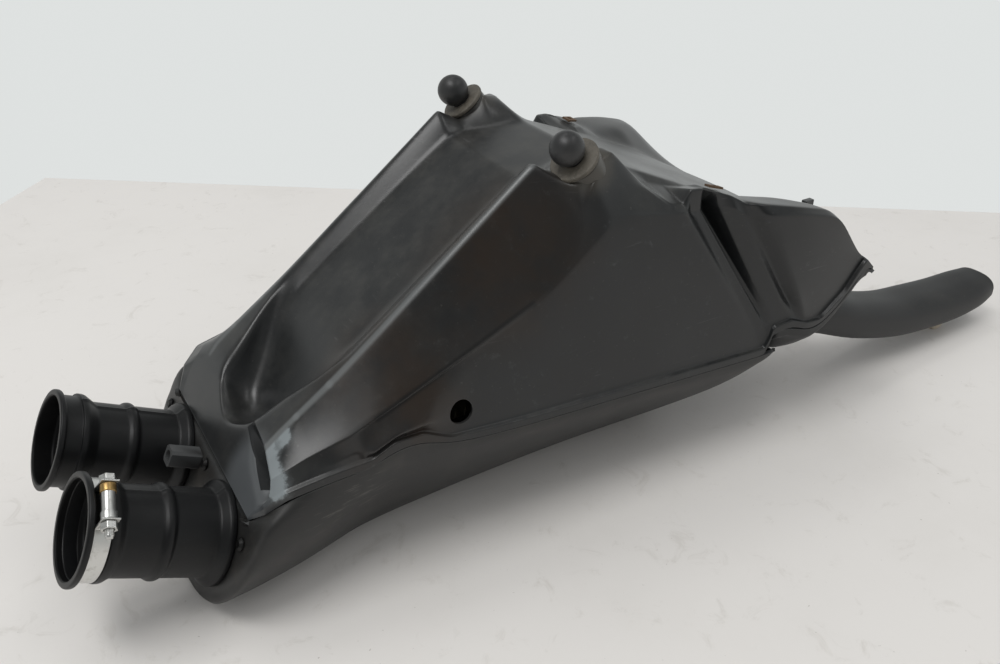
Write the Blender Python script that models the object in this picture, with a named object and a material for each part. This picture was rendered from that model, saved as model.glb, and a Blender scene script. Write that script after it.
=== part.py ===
"""Motorcycle airbox: moulded lid and tray, pleated filter, two intake boots, a hose clamp and a snorkel."""
import math

import bmesh
import bpy
from mathutils import Matrix, Vector

# Metres. The origin is on the floor under the tray, +X runs towards the snorkel, left is +Y
WALL = 0.0028
GAP = 0.0003
SEAM_GAP = 0.0030
REAR_SEAM_GAP = 0.0050
ROUND_STEPS = 32
SMALL_STEPS = 16

# Front wall: a plane square to the boots, with its centre between them
BOOT_TILT = math.radians(27.5)
FRONT_X = -0.1790
FRONT_Z = 0.0438
FRONT_BOTTOM_V = -0.0490
FRONT_SEAM_V = 0.0310
FRONT_MARGIN = 0.0478

# Boots: radii, and places along the boot axis measured outwards from the front wall
BOOT_HALF_PITCH = 0.0462
FRONT_HALF_WIDTH = BOOT_HALF_PITCH + FRONT_MARGIN
BOOT_LENGTH = 0.0825
BOOT_RADIUS = 0.0262
BOOT_WALL = 0.0030
BOOT_FLANGE_RADIUS = 0.0315
BOOT_FLANGE_THICK = 0.0042
BOOT_INNER_BEAD_RADIUS = 0.0305
BOOT_INNER_BEAD_THICK = 0.0045
LIP_RADIUS = 0.0320
LIP_THICK = 0.0036
LIP_MOUTH_RADIUS = 0.0275
LIP_MOUTH_DEPTH = 0.0120
CLAMP_SEAT_WIDTH = 0.0100
CLAMP_SEAT_RADIUS = 0.0272
BEAD_RADIUS = 0.0290
BEAD_WIDTH = 0.0034
RING_RIB_RADIUS = 0.0284
RING_RIB_WIDTH = 0.0046
RING_RIB_PLACE = 0.0370

# Hose clamp on the right boot
BAND_WIDTH = 0.0094
BAND_THICK = 0.0010
EAR_HEIGHT = 0.0105
EAR_HALF_SPAN = 0.0105
CLAMP_ANGLE = math.radians(60.0)
CLAMP_SCREW_RADIUS = 0.0025
CLAMP_SCREW_LIFT = 0.0058
CLAMP_SLEEVE_RADIUS = 0.0042
CLAMP_HEAD_RADIUS = 0.0046
CLAMP_HEAD_HEIGHT = 0.0036
CLAMP_NUT_RADIUS = 0.0046
CLAMP_NUT_HEIGHT = 0.0040
CLAMP_TIP_LENGTH = 0.0045

# Rim of the lid: x, half width and height of its lower edge, front corner to rear corner
RIM_PATH = [
    (-0.1648, 0.0755, 0.0713), (-0.1609, 0.0808, 0.0757), (-0.1570, 0.0860, 0.0800), (-0.1528, 0.0879, 0.0832),
    (-0.1450, 0.0915, 0.0890), (-0.1200, 0.0945, 0.0935), (-0.0950, 0.0965, 0.0950), (-0.0800, 0.0975, 0.1025),
    (-0.0620, 0.0985, 0.1025), (-0.0450, 0.0993, 0.0935), (0.0000, 0.1015, 0.0900), (0.2000, 0.1110, 0.0825),
    (0.2030, 0.1115, 0.0850), (0.2055, 0.1120, 0.0970), (0.2100, 0.1128, 0.1020), (0.2200, 0.1148, 0.1022),
    (0.2344, 0.1170, 0.0970), (0.2480, 0.1175, 0.0965), (0.2689, 0.1175, 0.1123), (0.2855, 0.1175, 0.1347),
    (0.2945, 0.1170, 0.1290),
]
RIM_BEAD_HEIGHT = 0.0065
RIM_BEAD_STEP = 0.0028
SEAM_STEP_X = 0.2000
TRAY_END_X = 0.2125
SEAL_END_X = 0.1580
SEAL_DROPS = (0.13, 0.87, 0.20, 0.80)
SEAL_CORNER_DROPS = (0.52, 0.70, 0.55, 0.95)

# Ridges, trough and rear deck of the lid
RIDGE_TOP_X = 0.0345
RIDGE_TOP_Z = 0.2405
RIDGE_SLOPE = math.radians(38.0)
RIDGE_OUTER_Y = 0.0614
RIDGE_INNER_Y = 0.0560
TROUGH_DEPTH = 0.0200
TROUGH_HALF_WIDTH = 0.0420
CREASE_Y = 0.0885
DECK_FRONT_X = 0.0870
DECK_DROP = 0.0095
DECK_FRONT_Z = RIDGE_TOP_Z - DECK_DROP
DECK_REAR_X = 0.2540
DECK_REAR_Z = 0.1605
GROOVE_DEPTH = 0.0080
SLOT_DEPTH = 0.0130
FLANGE_FOOT_X = 0.2775
FLANGE_FOOT_Z = 0.1440
REAR_RIM_X = 0.2960
REAR_RIM_Z = 0.1290
SIDE_HOLE_X = -0.0359
SIDE_HOLE_Z = 0.1097
SIDE_HOLE_RADIUS = 0.0078

# Tray: flat floor that narrows amidships, then a sloping rear wall
FLOOR_HALF_MIN = 0.0310
FLOOR_HALF_FRONT = 0.0540
FLOOR_WAIST_X = 0.0500
FLOOR_REAR_X = 0.1680
REAR_SLOPE_X = 0.1960
REAR_SLOPE_Z = 0.0180
BILGE_WIDTH = 0.0140
BILGE_HEIGHT = 0.0090
WALL_BULGE = 0.0040

# Ball studs: axis square to the ridges, tipped a little outwards
STUD_SETBACK = 0.0175
STUD_RISE = 0.0079
STUD_X = RIDGE_TOP_X + STUD_SETBACK
STUD_Y = 0.0691
STUD_Z = RIDGE_TOP_Z + STUD_RISE
STUD_PAD_DROP = 0.0135
PEAK_RISE = 0.0009
STUD_OUTWARD = 0.12
BALL_RADIUS = 0.0107
STUD_NECK_RADIUS = 0.0058
STUD_SHANK_RADIUS = 0.0040
STUD_SEAT_DROP = 0.0092
STUD_SEAT_THICK = 0.0034
STUD_SEAT_RADIUS = 0.0155
STUD_BOSS_RADIUS = 0.0172
STUD_BOSS_LENGTH = 0.0190
STUD_BOSS_LIP = 0.0009
STUD_NUT_RADIUS = 0.0066
STUD_NUT_HEIGHT = 0.0050
STUD_TIP = 0.0020

# Snorkel: centre line with the share of full size, and the outer width and height of its flattened section
SNORKEL_PATH = [
    (0.2620, -0.0620, 0.0800, 1.00), (0.3000, -0.0645, 0.0680, 1.00), (0.3450, -0.0660, 0.0500, 1.00),
    (0.3940, -0.0670, 0.0365, 1.00), (0.4360, -0.0670, 0.0310, 1.00), (0.4750, -0.0670, 0.0280, 0.97),
    (0.5080, -0.0670, 0.0285, 0.90), (0.5280, -0.0670, 0.0305, 0.76),
]
SNORKEL_WIDTH = 0.0500
SNORKEL_HEIGHT = 0.0340
SNORKEL_WALL = 0.0024
SNORKEL_SQUARENESS = 2.6
SNORKEL_SIDES = 20
DISH_FLOOR_Z = 0.0660
DUCT_FRONT_X = 0.2080
DUCT_LEDGE_X = 0.2160
FLANGE_DEPTH = 0.0135
FOOT_STATION = 5
FOOT_X = SNORKEL_PATH[FOOT_STATION][0]
FOOT_Y = SNORKEL_PATH[FOOT_STATION][1] - 0.0020
FOOT_LENGTH = 0.0140
FOOT_WIDTH = 0.0120

# Filter panel
FILTER_FRONT_X = -0.0900
FILTER_REAR_X = 0.1400
FRAME_BOTTOM_Z = 0.0660
FRAME_HEIGHT = 0.0150
FRAME_END_WIDTH = 0.0100
ELEMENT_HALF_WIDTH = 0.0640
PLEAT_COUNT = 28
PLEAT_HEIGHT = 0.0300
PLEAT_RISE = 0.0065
FRAME_CLEARANCE = 0.0016

# Front wall fittings: y and in-wall height above the boot axes
SIDE_SCREW_ANGLE = math.radians(26.0)
SIDE_SCREW_CLEARANCE = 0.0021
MID_SCREW_CLEARANCE = 0.0032
MID_SCREW_V = 0.0204
SCREW_RADIUS = 0.0018
SCREW_HEAD_RADIUS = 0.0040
SCREW_HEAD_HEIGHT = 0.0024
STACK_PLATE_MARGIN = 0.0055
STACK_PLATE_TOP_V = 0.0240
STACK_PLATE_BOTTOM_V = -0.0340
STACK_PLATE_TOP_RADIUS = 0.0100
STACK_PLATE_BOTTOM_RADIUS = 0.0380
STACK_PLATE_THICK = 0.0025
BELL_WALL = 0.0016
BELL_REACH = 0.0040
BELL_FLARE_RADIUS = 0.0298
BELL_FLARE_LENGTH = 0.0022
SPIGOT_CLEARANCE = 0.0042
SPIGOT_V = 0.0166
SPIGOT_HALF = 0.0058
SPIGOT_CORNER = 0.0018
SPIGOT_SHANK = 0.0050
SPIGOT_BORE = 0.0038
SPIGOT_LENGTH = 0.0200
DRAIN_RADIUS = 0.0058
DRAIN_FLANGE_RADIUS = 0.0092
DRAIN_FLANGE_THICK = 0.0022
CLIP_LENGTH = 0.0100
CLIP_WIDTH = 0.0070
CLIP_THICK = 0.0014
CLIP_HOLE = 0.0020
CLIP_LIFT = 0.0018
CLIP_STATION = 22

OUT = Vector((-math.cos(BOOT_TILT), 0.0, math.sin(BOOT_TILT)))
UP = Vector((math.sin(BOOT_TILT), 0.0, math.cos(BOOT_TILT)))
SIDES = {"left": 1.0, "right": -1.0}


def clear_scene():
    for obj in list(bpy.data.objects):
        bpy.data.objects.remove(obj, do_unlink=True)


def material(name, colour, roughness, metallic=0.0):
    mat = bpy.data.materials.new(name)
    mat.use_nodes = True
    shader = mat.node_tree.nodes["Principled BSDF"]
    shader.inputs["Base Color"].default_value = (*colour, 1.0)
    shader.inputs["Roughness"].default_value = roughness
    shader.inputs["Metallic"].default_value = metallic
    return mat


def add_object(name, verts, faces, mat=None, frame=None, fix_normals=True):
    mesh = bpy.data.meshes.new(name)
    mesh.from_pydata([tuple(v) for v in verts], [], faces)
    if fix_normals:
        bm = bmesh.new()
        bm.from_mesh(mesh)
        bmesh.ops.recalc_face_normals(bm, faces=bm.faces)
        bm.to_mesh(mesh)
        bm.free()
    mesh.shade_smooth()
    mesh.set_sharp_from_angle(angle=math.radians(32))
    obj = bpy.data.objects.new(name, mesh)
    bpy.context.collection.objects.link(obj)
    if mat:
        mesh.materials.append(mat)
    if frame:
        obj.matrix_world = frame
    return obj


def axis_frame(origin, axis, hint=(0.0, 1.0, 0.0)):
    """Frame with its z along the axis and its x as near the hint as it can be."""
    z = Vector(axis).normalized()
    x = Vector(hint)
    x = (x - z * x.dot(z)).normalized()
    y = z.cross(x)
    frame = Matrix((x, y, z)).transposed().to_4x4()
    frame.translation = Vector(origin)
    return frame


def lathe(name, profile, frame, mat=None, steps=ROUND_STEPS):
    """Turn a closed (radius, height) outline about the frame's z axis."""
    verts = []
    rings = []
    for radius, height in profile:
        if radius < 1e-9:
            rings.append([len(verts)])
            verts.append((0.0, 0.0, height))
            continue
        ring = []
        for step in range(steps):
            angle = 2.0 * math.pi * step / steps
            ring.append(len(verts))
            verts.append((radius * math.cos(angle), radius * math.sin(angle), height))
        rings.append(ring)
    faces = []
    for ring, following in zip(rings, rings[1:] + rings[:1]):
        if len(ring) == 1 and len(following) == 1:
            continue
        for step in range(steps):
            after = (step + 1) % steps
            corners = [ring[step % len(ring)], ring[after % len(ring)],
                       following[after % len(following)], following[step % len(following)]]
            faces.append(list(dict.fromkeys(corners)))
    return add_object(name, verts, faces, mat, frame)


def prism(name, outline, bottom, top, frame, mat=None):
    """Extrude a closed xy outline along the frame's z axis."""
    count = len(outline)
    verts = [(x, y, bottom) for x, y in outline] + [(x, y, top) for x, y in outline]
    faces = [list(range(count)), list(range(count, 2 * count))]
    for i in range(count):
        j = (i + 1) % count
        faces.append([i, j, count + j, count + i])
    return add_object(name, verts, faces, mat, frame)


def ribbon(name, rings, mat=None):
    """Closed solid through a row of rings that all have the same number of points."""
    sides = len(rings[0])
    verts = [point for ring in rings for point in ring]
    faces = [list(range(sides)), [len(verts) - sides + k for k in range(sides)]]
    for i in range(len(rings) - 1):
        for k in range(sides):
            n = (k + 1) % sides
            faces.append([i * sides + k, i * sides + n, (i + 1) * sides + n, (i + 1) * sides + k])
    return add_object(name, verts, faces, mat)


def polygon(sides, radius):
    return [(radius * math.cos(2.0 * math.pi * i / sides), radius * math.sin(2.0 * math.pi * i / sides))
            for i in range(sides)]


def arc(centre, radius, start, end, steps):
    return [(centre[0] + radius * math.cos(start + (end - start) * i / steps),
             centre[1] + radius * math.sin(start + (end - start) * i / steps)) for i in range(steps + 1)]


def hide(cutter):
    cutter.hide_render = True
    cutter.display_type = "WIRE"
    return cutter


def combine(obj, tool, operation):
    modifier = obj.modifiers.new(tool.name, "BOOLEAN")
    modifier.operation = operation
    modifier.solver = "EXACT"
    modifier.object = hide(tool)


def drill(obj, name, frame, radius, low, high, steps=SMALL_STEPS):
    profile = [(0.0, high), (radius, high), (radius, low), (0.0, low)]
    combine(obj, lathe(name, profile, frame, steps=steps), "DIFFERENCE")


def shell(name, rows, mat, outward_up):
    """Moulded wall from half sections that start on the middle plane, mirrored and thickened inwards."""
    full = [[(x, -y, z) for x, y, z in reversed(row[1:])] + list(row) for row in rows]
    across = len(full[0])
    verts = [point for row in full for point in row]
    faces = []
    for i in range(len(full) - 1):
        for j in range(across - 1):
            quad = [i * across + j, (i + 1) * across + j, (i + 1) * across + j + 1, i * across + j + 1]
            faces.append(quad if outward_up else quad[::-1])
    obj = add_object(name, verts, faces, mat, fix_normals=False)
    thicken = obj.modifiers.new("wall", "SOLIDIFY")
    thicken.thickness = WALL
    thicken.offset = -1.0
    return obj


def lerp(a, b, t):
    return a + (b - a) * t


def front_point(y, v, s=0.0):
    """Point of the front wall: y across, v up the wall, s outwards along the boots."""
    return Vector((FRONT_X, y, FRONT_Z)) + UP * v + OUT * s


def front_frame(y, v):
    return axis_frame(front_point(y, v), OUT)


def rim_point(x):
    """Lid's lower edge at x: half width and height."""
    for (x0, y0, z0), (x1, y1, z1) in zip(RIM_PATH, RIM_PATH[1:]):
        if x <= x1 or x1 == RIM_PATH[-1][0]:
            t = (x - x0) / (x1 - x0)
            return lerp(y0, y1, t), lerp(z0, z1, t)


def ridge_z(x):
    return RIDGE_TOP_Z - (RIDGE_TOP_X - x) * math.tan(RIDGE_SLOPE)


def deck_z(x):
    return lerp(DECK_FRONT_Z, DECK_REAR_Z, (x - DECK_FRONT_X) / (DECK_REAR_X - DECK_FRONT_X))


def lid_rim(x, bead):
    """Three points of the lid's rim bead, from the side panel out and down."""
    y, z = rim_point(x)
    step = RIM_BEAD_STEP * bead / RIM_BEAD_HEIGHT
    return [(x, y - step, z + bead), (x, y, z + 0.7 * bead), (x, y, z)]


def lid_section(floor, inner, outer, crease, rim_x, bulge=0.0, bead=RIM_BEAD_HEIGHT, centre=None):
    """Half section of the lid: middle, trough or deck edge, ridge edges, crease, low side panel and rim."""
    rim = lid_rim(rim_x, bead)
    middle = centre or (floor[0], 0.0, floor[2])
    side = Vector(crease).lerp(Vector(rim[0]), 0.78) + Vector((0.0, bulge, 0.0))
    return [middle, floor, inner, outer, crease, tuple(side)] + rim


def slope_section(x, floor_y, crease_x, crease_z, rim_x, bulge=0.0):
    floor = (x, floor_y, ridge_z(x) - TROUGH_DEPTH)
    inner = (x, RIDGE_INNER_Y, ridge_z(x))
    outer = (x, RIDGE_OUTER_Y, ridge_z(x) - GAP)
    return lid_section(floor, inner, outer, (crease_x, CREASE_Y, crease_z), rim_x, bulge)


def front_rows():
    """Front strip, the groove behind it, the shoulders and the pit of the trough."""
    seam = FRONT_SEAM_V
    groove = -GROOVE_DEPTH
    return [
        lid_section(front_point(0.020, seam), front_point(0.036, seam), front_point(0.056, seam),
                    front_point(0.068, seam), -0.1648, bead=0.0008),
        lid_section(front_point(0.0235, 0.0600), front_point(0.0310, 0.0600), front_point(0.0548, 0.0505),
                    front_point(0.0720, 0.0420), -0.1609, bead=0.0040),
        lid_section((-0.1475, 0.0240, 0.1010), front_point(0.0360, 0.0635, 0.5 * groove),
                    front_point(0.0545, 0.0600, groove), front_point(0.0725, 0.0520, 0.9 * groove), -0.1570),
        lid_section((-0.1465, 0.0245, 0.1015), (-0.1473, 0.0365, 0.1046), (-0.1468, 0.0640, 0.1057),
                    (-0.1500, 0.0820, 0.0990), -0.1528),
        lid_section((-0.1400, 0.0250, 0.0990), (-0.1390, 0.0390, 0.1085), (-0.1390, 0.0625, 0.1095),
                    (-0.1415, 0.0828, 0.1015), -0.1450),
        lid_section((-0.1280, 0.0270, 0.0965), (-0.1260, 0.0430, 0.1155), (-0.1260, 0.0605, 0.1165),
                    (-0.1280, 0.0835, 0.1060), -0.1200),
        lid_section((-0.1050, 0.0330, 0.1080), (-0.1035, 0.0550, 0.1325), (-0.1035, RIDGE_OUTER_Y, 0.1330),
                    (-0.1020, 0.0875, 0.1135), -0.0950),
    ]


def slope_rows():
    """Straight ridges, then the notches for the stud seats and the peaks behind them."""
    wide = TROUGH_HALF_WIDTH
    pad = RIDGE_TOP_Z - STUD_PAD_DROP
    peak = RIDGE_TOP_Z + PEAK_RISE
    return [
        slope_section(-0.0750, 0.0380, -0.0700, 0.1260, -0.0800, 0.0035),
        slope_section(-0.0450, 0.0400, -0.0450, 0.1365, -0.0620, 0.0035),
        slope_section(-0.0100, 0.0410, -0.0120, 0.1500, -0.0450),
        slope_section(0.0150, wide, 0.0180, 0.1645, 0.0000),
        slope_section(RIDGE_TOP_X, wide, 0.0380, 0.1810, 0.0300),
        lid_section((0.0500, wide, pad - 0.0015), (0.0475, 0.0560, pad), (0.0480, 0.0660, pad),
                    (0.0540, CREASE_Y, pad - 0.0310), 0.0550),
        lid_section((0.0700, 0.0400, pad + 0.0020), (0.0690, 0.0600, pad + 0.0040), (0.0690, 0.0722, pad + 0.0013),
                    (0.0690, CREASE_Y, pad - 0.0172), 0.0800),
        lid_section((DECK_FRONT_X, 0.0330, DECK_FRONT_Z), (0.0834, 0.0640, peak), (0.0834, 0.0715, peak),
                    (0.0900, 0.0900, peak - 0.0354), 0.1050),
    ]


def deck_point(x, y):
    return (x, y, deck_z(x))


def rear_rows():
    """Deck edge, side panel end, ledge and tapered slot, then the raised wing and the rear flange."""
    deep = SLOT_DEPTH
    wing = 0.1172
    rows = [
        lid_section(deck_point(0.1040, 0.0500), (0.1040, 0.0660, 0.2200), (0.1039, 0.0800, 0.2184),
                    (0.1040, 0.0905, 0.2038), 0.1500),
        lid_section(deck_point(0.1190, 0.0560), (0.1180, 0.0640, 0.2125), (0.1194, 0.0870, 0.2064),
                    (0.1185, 0.0920, 0.2018), 0.1800),
        lid_section(deck_point(0.1320, 0.0590), (0.1300, 0.0655, 0.2085), (0.1285, 0.0880, 0.2042),
                    (0.1296, 0.0935, 0.2000), 0.2000),
        lid_section(deck_point(0.1360, 0.0600), (0.1345, 0.0660, 0.2070), (0.1345, 0.0890, 0.2130),
                    (0.1345, 0.0895, 0.1975), 0.2015),
        lid_section(deck_point(0.1440, 0.0605), (0.1440, 0.0665, 0.2050), (0.1430, 0.0900, 0.2130),
                    (0.1455, 0.0885, 0.1955), 0.2030),
        lid_section(deck_point(0.1460, 0.0606), (0.1460, 0.0665, 0.2048), (0.1460, 0.0905, 0.2120),
                    (0.1485, 0.0890 - deep, 0.1940), 0.2040),
        lid_section(deck_point(0.1530, 0.0612), (0.1530, 0.0670, 0.2040), (0.1530, 0.0910, 0.2090),
                    (0.1560, 0.0900 - deep, 0.1940), 0.2055),
        lid_section(deck_point(0.1560, 0.0613), (0.1560, 0.0685, 0.2050), (0.1560, 0.0920, 0.2080),
                    (0.1600, 0.0925, 0.1980), 0.2100),
        lid_section(deck_point(0.1640, 0.0622), (0.1640, 0.0710, 0.2030), (0.1640, 0.0950, 0.2045),
                    (0.1665, 0.0985, 0.1960), 0.2200),
        lid_section(deck_point(0.1740, 0.0632), (0.1740, 0.0740, 0.1975), (0.1735, 0.0985, 0.1960),
                    (0.1770, 0.1010, 0.1870), 0.2280),
        lid_section(deck_point(0.1800, 0.0640), (0.1790, 0.0760, 0.1950), (0.1795, 0.1045, 0.1985),
                    (0.1840, 0.1110, 0.1930), 0.2344),
        lid_section(deck_point(0.2150, 0.0660), (0.2140, 0.0850, 0.1905), (0.2130, 0.1120, 0.1925),
                    (0.2140, 0.1165, 0.1885), 0.2480),
        lid_section((0.2450, 0.0660, 0.1590), (0.2380, 0.1005, 0.1850), (0.2420, 0.1130, 0.1845),
                    (0.2465, wing, 0.1795), 0.2689, centre=(DECK_REAR_X, 0.0, DECK_REAR_Z)),
    ]
    foot = [(FLANGE_FOOT_X, y, FLANGE_FOOT_Z) for y in (0.0660, 0.0980, 0.1090, 0.1140)]
    edge = [(REAR_RIM_X, y, REAR_RIM_Z) for y in (0.0660, 0.0980, 0.1080, 0.1130)]
    rows.append(lid_section(*foot, 0.2855))
    rows.append(lid_section(*edge, RIM_PATH[-1][0], bead=0.0010))
    return rows


def lid_rows():
    return front_rows() + slope_rows() + rear_rows()


def stud_axis(side):
    return Vector((-math.sin(RIDGE_SLOPE), side * STUD_OUTWARD, math.cos(RIDGE_SLOPE))).normalized()


def stud_frame(side):
    return axis_frame((STUD_X, side * STUD_Y, STUD_Z), stud_axis(side))


BOSS_TOP = -(STUD_SEAT_DROP + STUD_SEAT_THICK + GAP)
BOSS_BOTTOM = BOSS_TOP - STUD_BOSS_LENGTH


def make_upper_housing(mat):
    obj = shell("upper_housing", lid_rows(), mat, outward_up=True)
    for side_name, side in SIDES.items():
        frame = stud_frame(side)
        lip = BOSS_TOP + STUD_BOSS_LIP
        boss = [(0.0, lip), (STUD_BOSS_RADIUS, lip), (STUD_BOSS_RADIUS, BOSS_BOTTOM), (0.0, BOSS_BOTTOM)]
        combine(obj, lathe("boss_" + side_name, boss, frame, steps=SMALL_STEPS), "UNION")
        drill(obj, "seat_pocket_" + side_name, frame, STUD_SEAT_RADIUS + 2 * GAP, BOSS_TOP, STUD_SEAT_RADIUS)
        drill(obj, "boss_hole_" + side_name, frame, STUD_SHANK_RADIUS + GAP,
              BOSS_BOTTOM - WALL, BOSS_TOP + STUD_SEAT_THICK)
    side_hole = axis_frame((SIDE_HOLE_X, -CREASE_Y, SIDE_HOLE_Z), (0.0, -1.0, 0.0), (1.0, 0.0, 0.0))
    drill(obj, "side_hole", side_hole, SIDE_HOLE_RADIUS, -5 * WALL, 8 * WALL)
    return obj


def floor_half(x):
    share = (x - FLOOR_WAIST_X) / (front_point(0.0, FRONT_BOTTOM_V).x - FLOOR_WAIST_X)
    return FLOOR_HALF_MIN + (FLOOR_HALF_FRONT - FLOOR_HALF_MIN) * share * share


def tray_rim(x):
    """Two points of the tray's rim, below the lid's edge by the seam gap."""
    y, z = rim_point(min(x, SEAM_STEP_X))
    top = z - SEAM_GAP
    return [(x, y - 0.0008, top - RIM_BEAD_HEIGHT), (x, y, top)]


def tray_section(x, floor_z=0.0, bulge=WALL_BULGE):
    """Half section of the tray: flat floor, bilge, slightly bulged wall and rim."""
    half = floor_half(x)
    low, top = tray_rim(x)
    bilge = (x, half + BILGE_WIDTH, floor_z + BILGE_HEIGHT)
    middle = (x, lerp(bilge[1], low[1], 0.5) + bulge, lerp(bilge[2], low[2], 0.5))
    upper = (x, lerp(bilge[1], low[1], 0.82) + 0.6 * bulge, lerp(bilge[2], low[2], 0.82))
    return [(x, 0.0, floor_z), (x, half, floor_z), bilge, middle, upper, low, top]


def tray_half(x, z):
    """Outer half width of the tray at a height."""
    points = tray_section(x)[1:]
    for low, high in zip(points, points[1:]):
        if z <= high[2]:
            return lerp(low[1], high[1], (z - low[2]) / (high[2] - low[2]))
    return points[-1][1]


def tray_rows():
    seam_v = FRONT_SEAM_V - SEAM_GAP
    bottom = FRONT_BOTTOM_V
    wide = FRONT_HALF_WIDTH
    rows = [[front_point(y, seam_v) for y in (0.0, 0.028, 0.046, 0.058, 0.066, 0.071, RIM_PATH[0][1])],
            [front_point(y, v) for y, v in ((0.0, bottom), (0.046, bottom), (0.078, -0.034), (wide, -0.006),
                                            (wide + 0.0045, 0.0160), (wide + 0.0025, 0.0375))] + [tray_rim(-0.1570)[1]],
            [(-0.1700, 0.0, 0.0), (-0.1700, 0.0510, 0.0), (-0.1650, 0.0790, 0.0170), (-0.1580, 0.0945, 0.0450),
             (-0.1530, 0.0985, 0.0660), (-0.1475, 0.0965, 0.0810), tray_rim(-0.1450)[1]],
            [(-0.1300, 0.0, 0.0), (-0.1300, 0.0450, 0.0), (-0.1260, 0.0660, 0.0120), (-0.1220, 0.0870, 0.0450),
             (-0.1210, 0.0935, 0.0700)] + tray_rim(-0.1200)]
    rows += [tray_section(x) for x, _, _ in RIM_PATH if -0.1 < x < 0.01]
    rows += [tray_section(x) for x in (0.055, 0.105)]
    last = tray_section(0.150, bulge=2.0 * WALL_BULGE)
    shift = FLOOR_REAR_X - 0.150
    rows.append([(x + shift * max(0.0, 1.0 - z / 0.07), y, z) for x, y, z in last])
    rows.append(tray_section(REAR_SLOPE_X, REAR_SLOPE_Z, 3.2 * WALL_BULGE))
    _, rear_y, rear_z = tray_rim(TRAY_END_X)[1]
    shares = (0.0, 0.30, 0.58, 0.80, 0.92, 0.97, 1.0)
    rows.append([(TRAY_END_X, rear_y * share, rear_z - RIM_BEAD_HEIGHT) for share in shares[:5]]
                + tray_rim(TRAY_END_X - WALL))
    rows.append([(TRAY_END_X, rear_y * share, rear_z) for share in shares])
    return rows


def drain_frame():
    """Middle of the tray's rear slope, axis outwards."""
    top = Vector((TRAY_END_X, 0.0, tray_rim(TRAY_END_X)[0][2]))
    foot = Vector((REAR_SLOPE_X, 0.0, REAR_SLOPE_Z))
    along = (top - foot).normalized()
    return axis_frame(foot.lerp(top, 0.45), (along.z, 0.0, -along.x))


# The fittings keep clear of the boots' flanges
SIDE_SCREW_REACH = BOOT_FLANGE_RADIUS + SCREW_HEAD_RADIUS + SIDE_SCREW_CLEARANCE
SIDE_SCREW_Y = BOOT_HALF_PITCH + SIDE_SCREW_REACH * math.cos(SIDE_SCREW_ANGLE)
SIDE_SCREW_V = SIDE_SCREW_REACH * math.sin(SIDE_SCREW_ANGLE)
SPIGOT_Y = BOOT_HALF_PITCH - BOOT_FLANGE_RADIUS - SPIGOT_CLEARANCE
MID_SCREW_Y = SPIGOT_Y - SPIGOT_HALF - SCREW_HEAD_RADIUS - MID_SCREW_CLEARANCE


def screw_places():
    return {"left": (SIDE_SCREW_Y, SIDE_SCREW_V), "mid": (MID_SCREW_Y, MID_SCREW_V),
            "right": (-SIDE_SCREW_Y, SIDE_SCREW_V)}


def make_lower_housing(mat):
    obj = shell("lower_housing", tray_rows(), mat, outward_up=False)
    through = 3 * WALL
    for side_name, side in SIDES.items():
        drill(obj, "boot_hole_" + side_name, front_frame(side * BOOT_HALF_PITCH, 0.0), BOOT_RADIUS + GAP,
              -through, through, ROUND_STEPS)
    for name, (y, v) in screw_places().items():
        drill(obj, "screw_hole_" + name, front_frame(y, v), SCREW_RADIUS + GAP, -through, through)
    drill(obj, "spigot_hole", front_frame(SPIGOT_Y, SPIGOT_V), SPIGOT_SHANK + GAP, -through, through)
    drill(obj, "drain_hole", drain_frame(), DRAIN_RADIUS + GAP, -through, through)
    return obj


def make_seam_seal(mat):
    """Strip between lid and tray along the front and both sides, thinner round the front corners."""
    stations = []
    for x in [SEAL_END_X] + [x for x, _, _ in reversed(RIM_PATH[1:]) if x < SEAL_END_X]:
        y, z = rim_point(x)
        drops = SEAL_DROPS if x > -0.13 else SEAL_CORNER_DROPS
        stations.append((Vector((x, y, z)), Vector((0.0, -1.0, 0.0)), Vector((0.0, 0.0, 1.0)), drops))
    corner = front_point(RIM_PATH[0][1], FRONT_SEAM_V)
    stations.append((corner, (-OUT + Vector((0.0, -1.0, 0.0))).normalized(), UP, SEAL_CORNER_DROPS))
    flip = Vector((1.0, -1.0, 1.0))
    stations += [(place * flip, inward * flip, up, drops) for place, inward, up, drops in reversed(stations)]
    rings = []
    for place, inward, up, (top, bottom, shallow, deep) in stations:
        outer = place + inward * shallow * WALL
        inner = place + inward * deep * WALL
        corners = ((outer, top), (inner, top), (inner, bottom), (outer, bottom))
        rings.append([point - up * drop * SEAM_GAP for point, drop in corners])
    return ribbon("seam_seal", rings, mat)


def snorkel_tube(name, margin, reach, mat=None):
    """Flattened tube along the snorkel's centre line, thinner by the margin; reach lengthens both ends."""
    path = [Vector(p[:3]) for p in SNORKEL_PATH]
    path[0] += (path[0] - path[1]).normalized() * reach
    path[-1] += (path[-1] - path[-2]).normalized() * reach
    across = Vector((0.0, 1.0, 0.0))
    rings = []
    for i, place in enumerate(path):
        along = (path[min(i + 1, len(path) - 1)] - path[max(i - 1, 0)]).normalized()
        up = along.cross(across).normalized()
        half_width = SNORKEL_WIDTH * SNORKEL_PATH[i][3] / 2.0 - margin
        half_height = SNORKEL_HEIGHT * SNORKEL_PATH[i][3] / 2.0 - margin
        ring = []
        for step in range(SNORKEL_SIDES):
            angle = 2.0 * math.pi * step / SNORKEL_SIDES
            c = math.cos(angle)
            s = math.sin(angle)
            y = math.copysign(abs(c) ** (2.0 / SNORKEL_SQUARENESS), c) * half_width
            z = math.copysign(abs(s) ** (2.0 / SNORKEL_SQUARENESS), s) * half_height
            ring.append(place + across * y - up * z)
        rings.append(ring)
    return ribbon(name, rings, mat)


def duct_rim(x):
    y, z = rim_point(x)
    top = z - SEAM_GAP
    return [(x, y - 0.0008, top - RIM_BEAD_HEIGHT), (x, y, top)]


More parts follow.
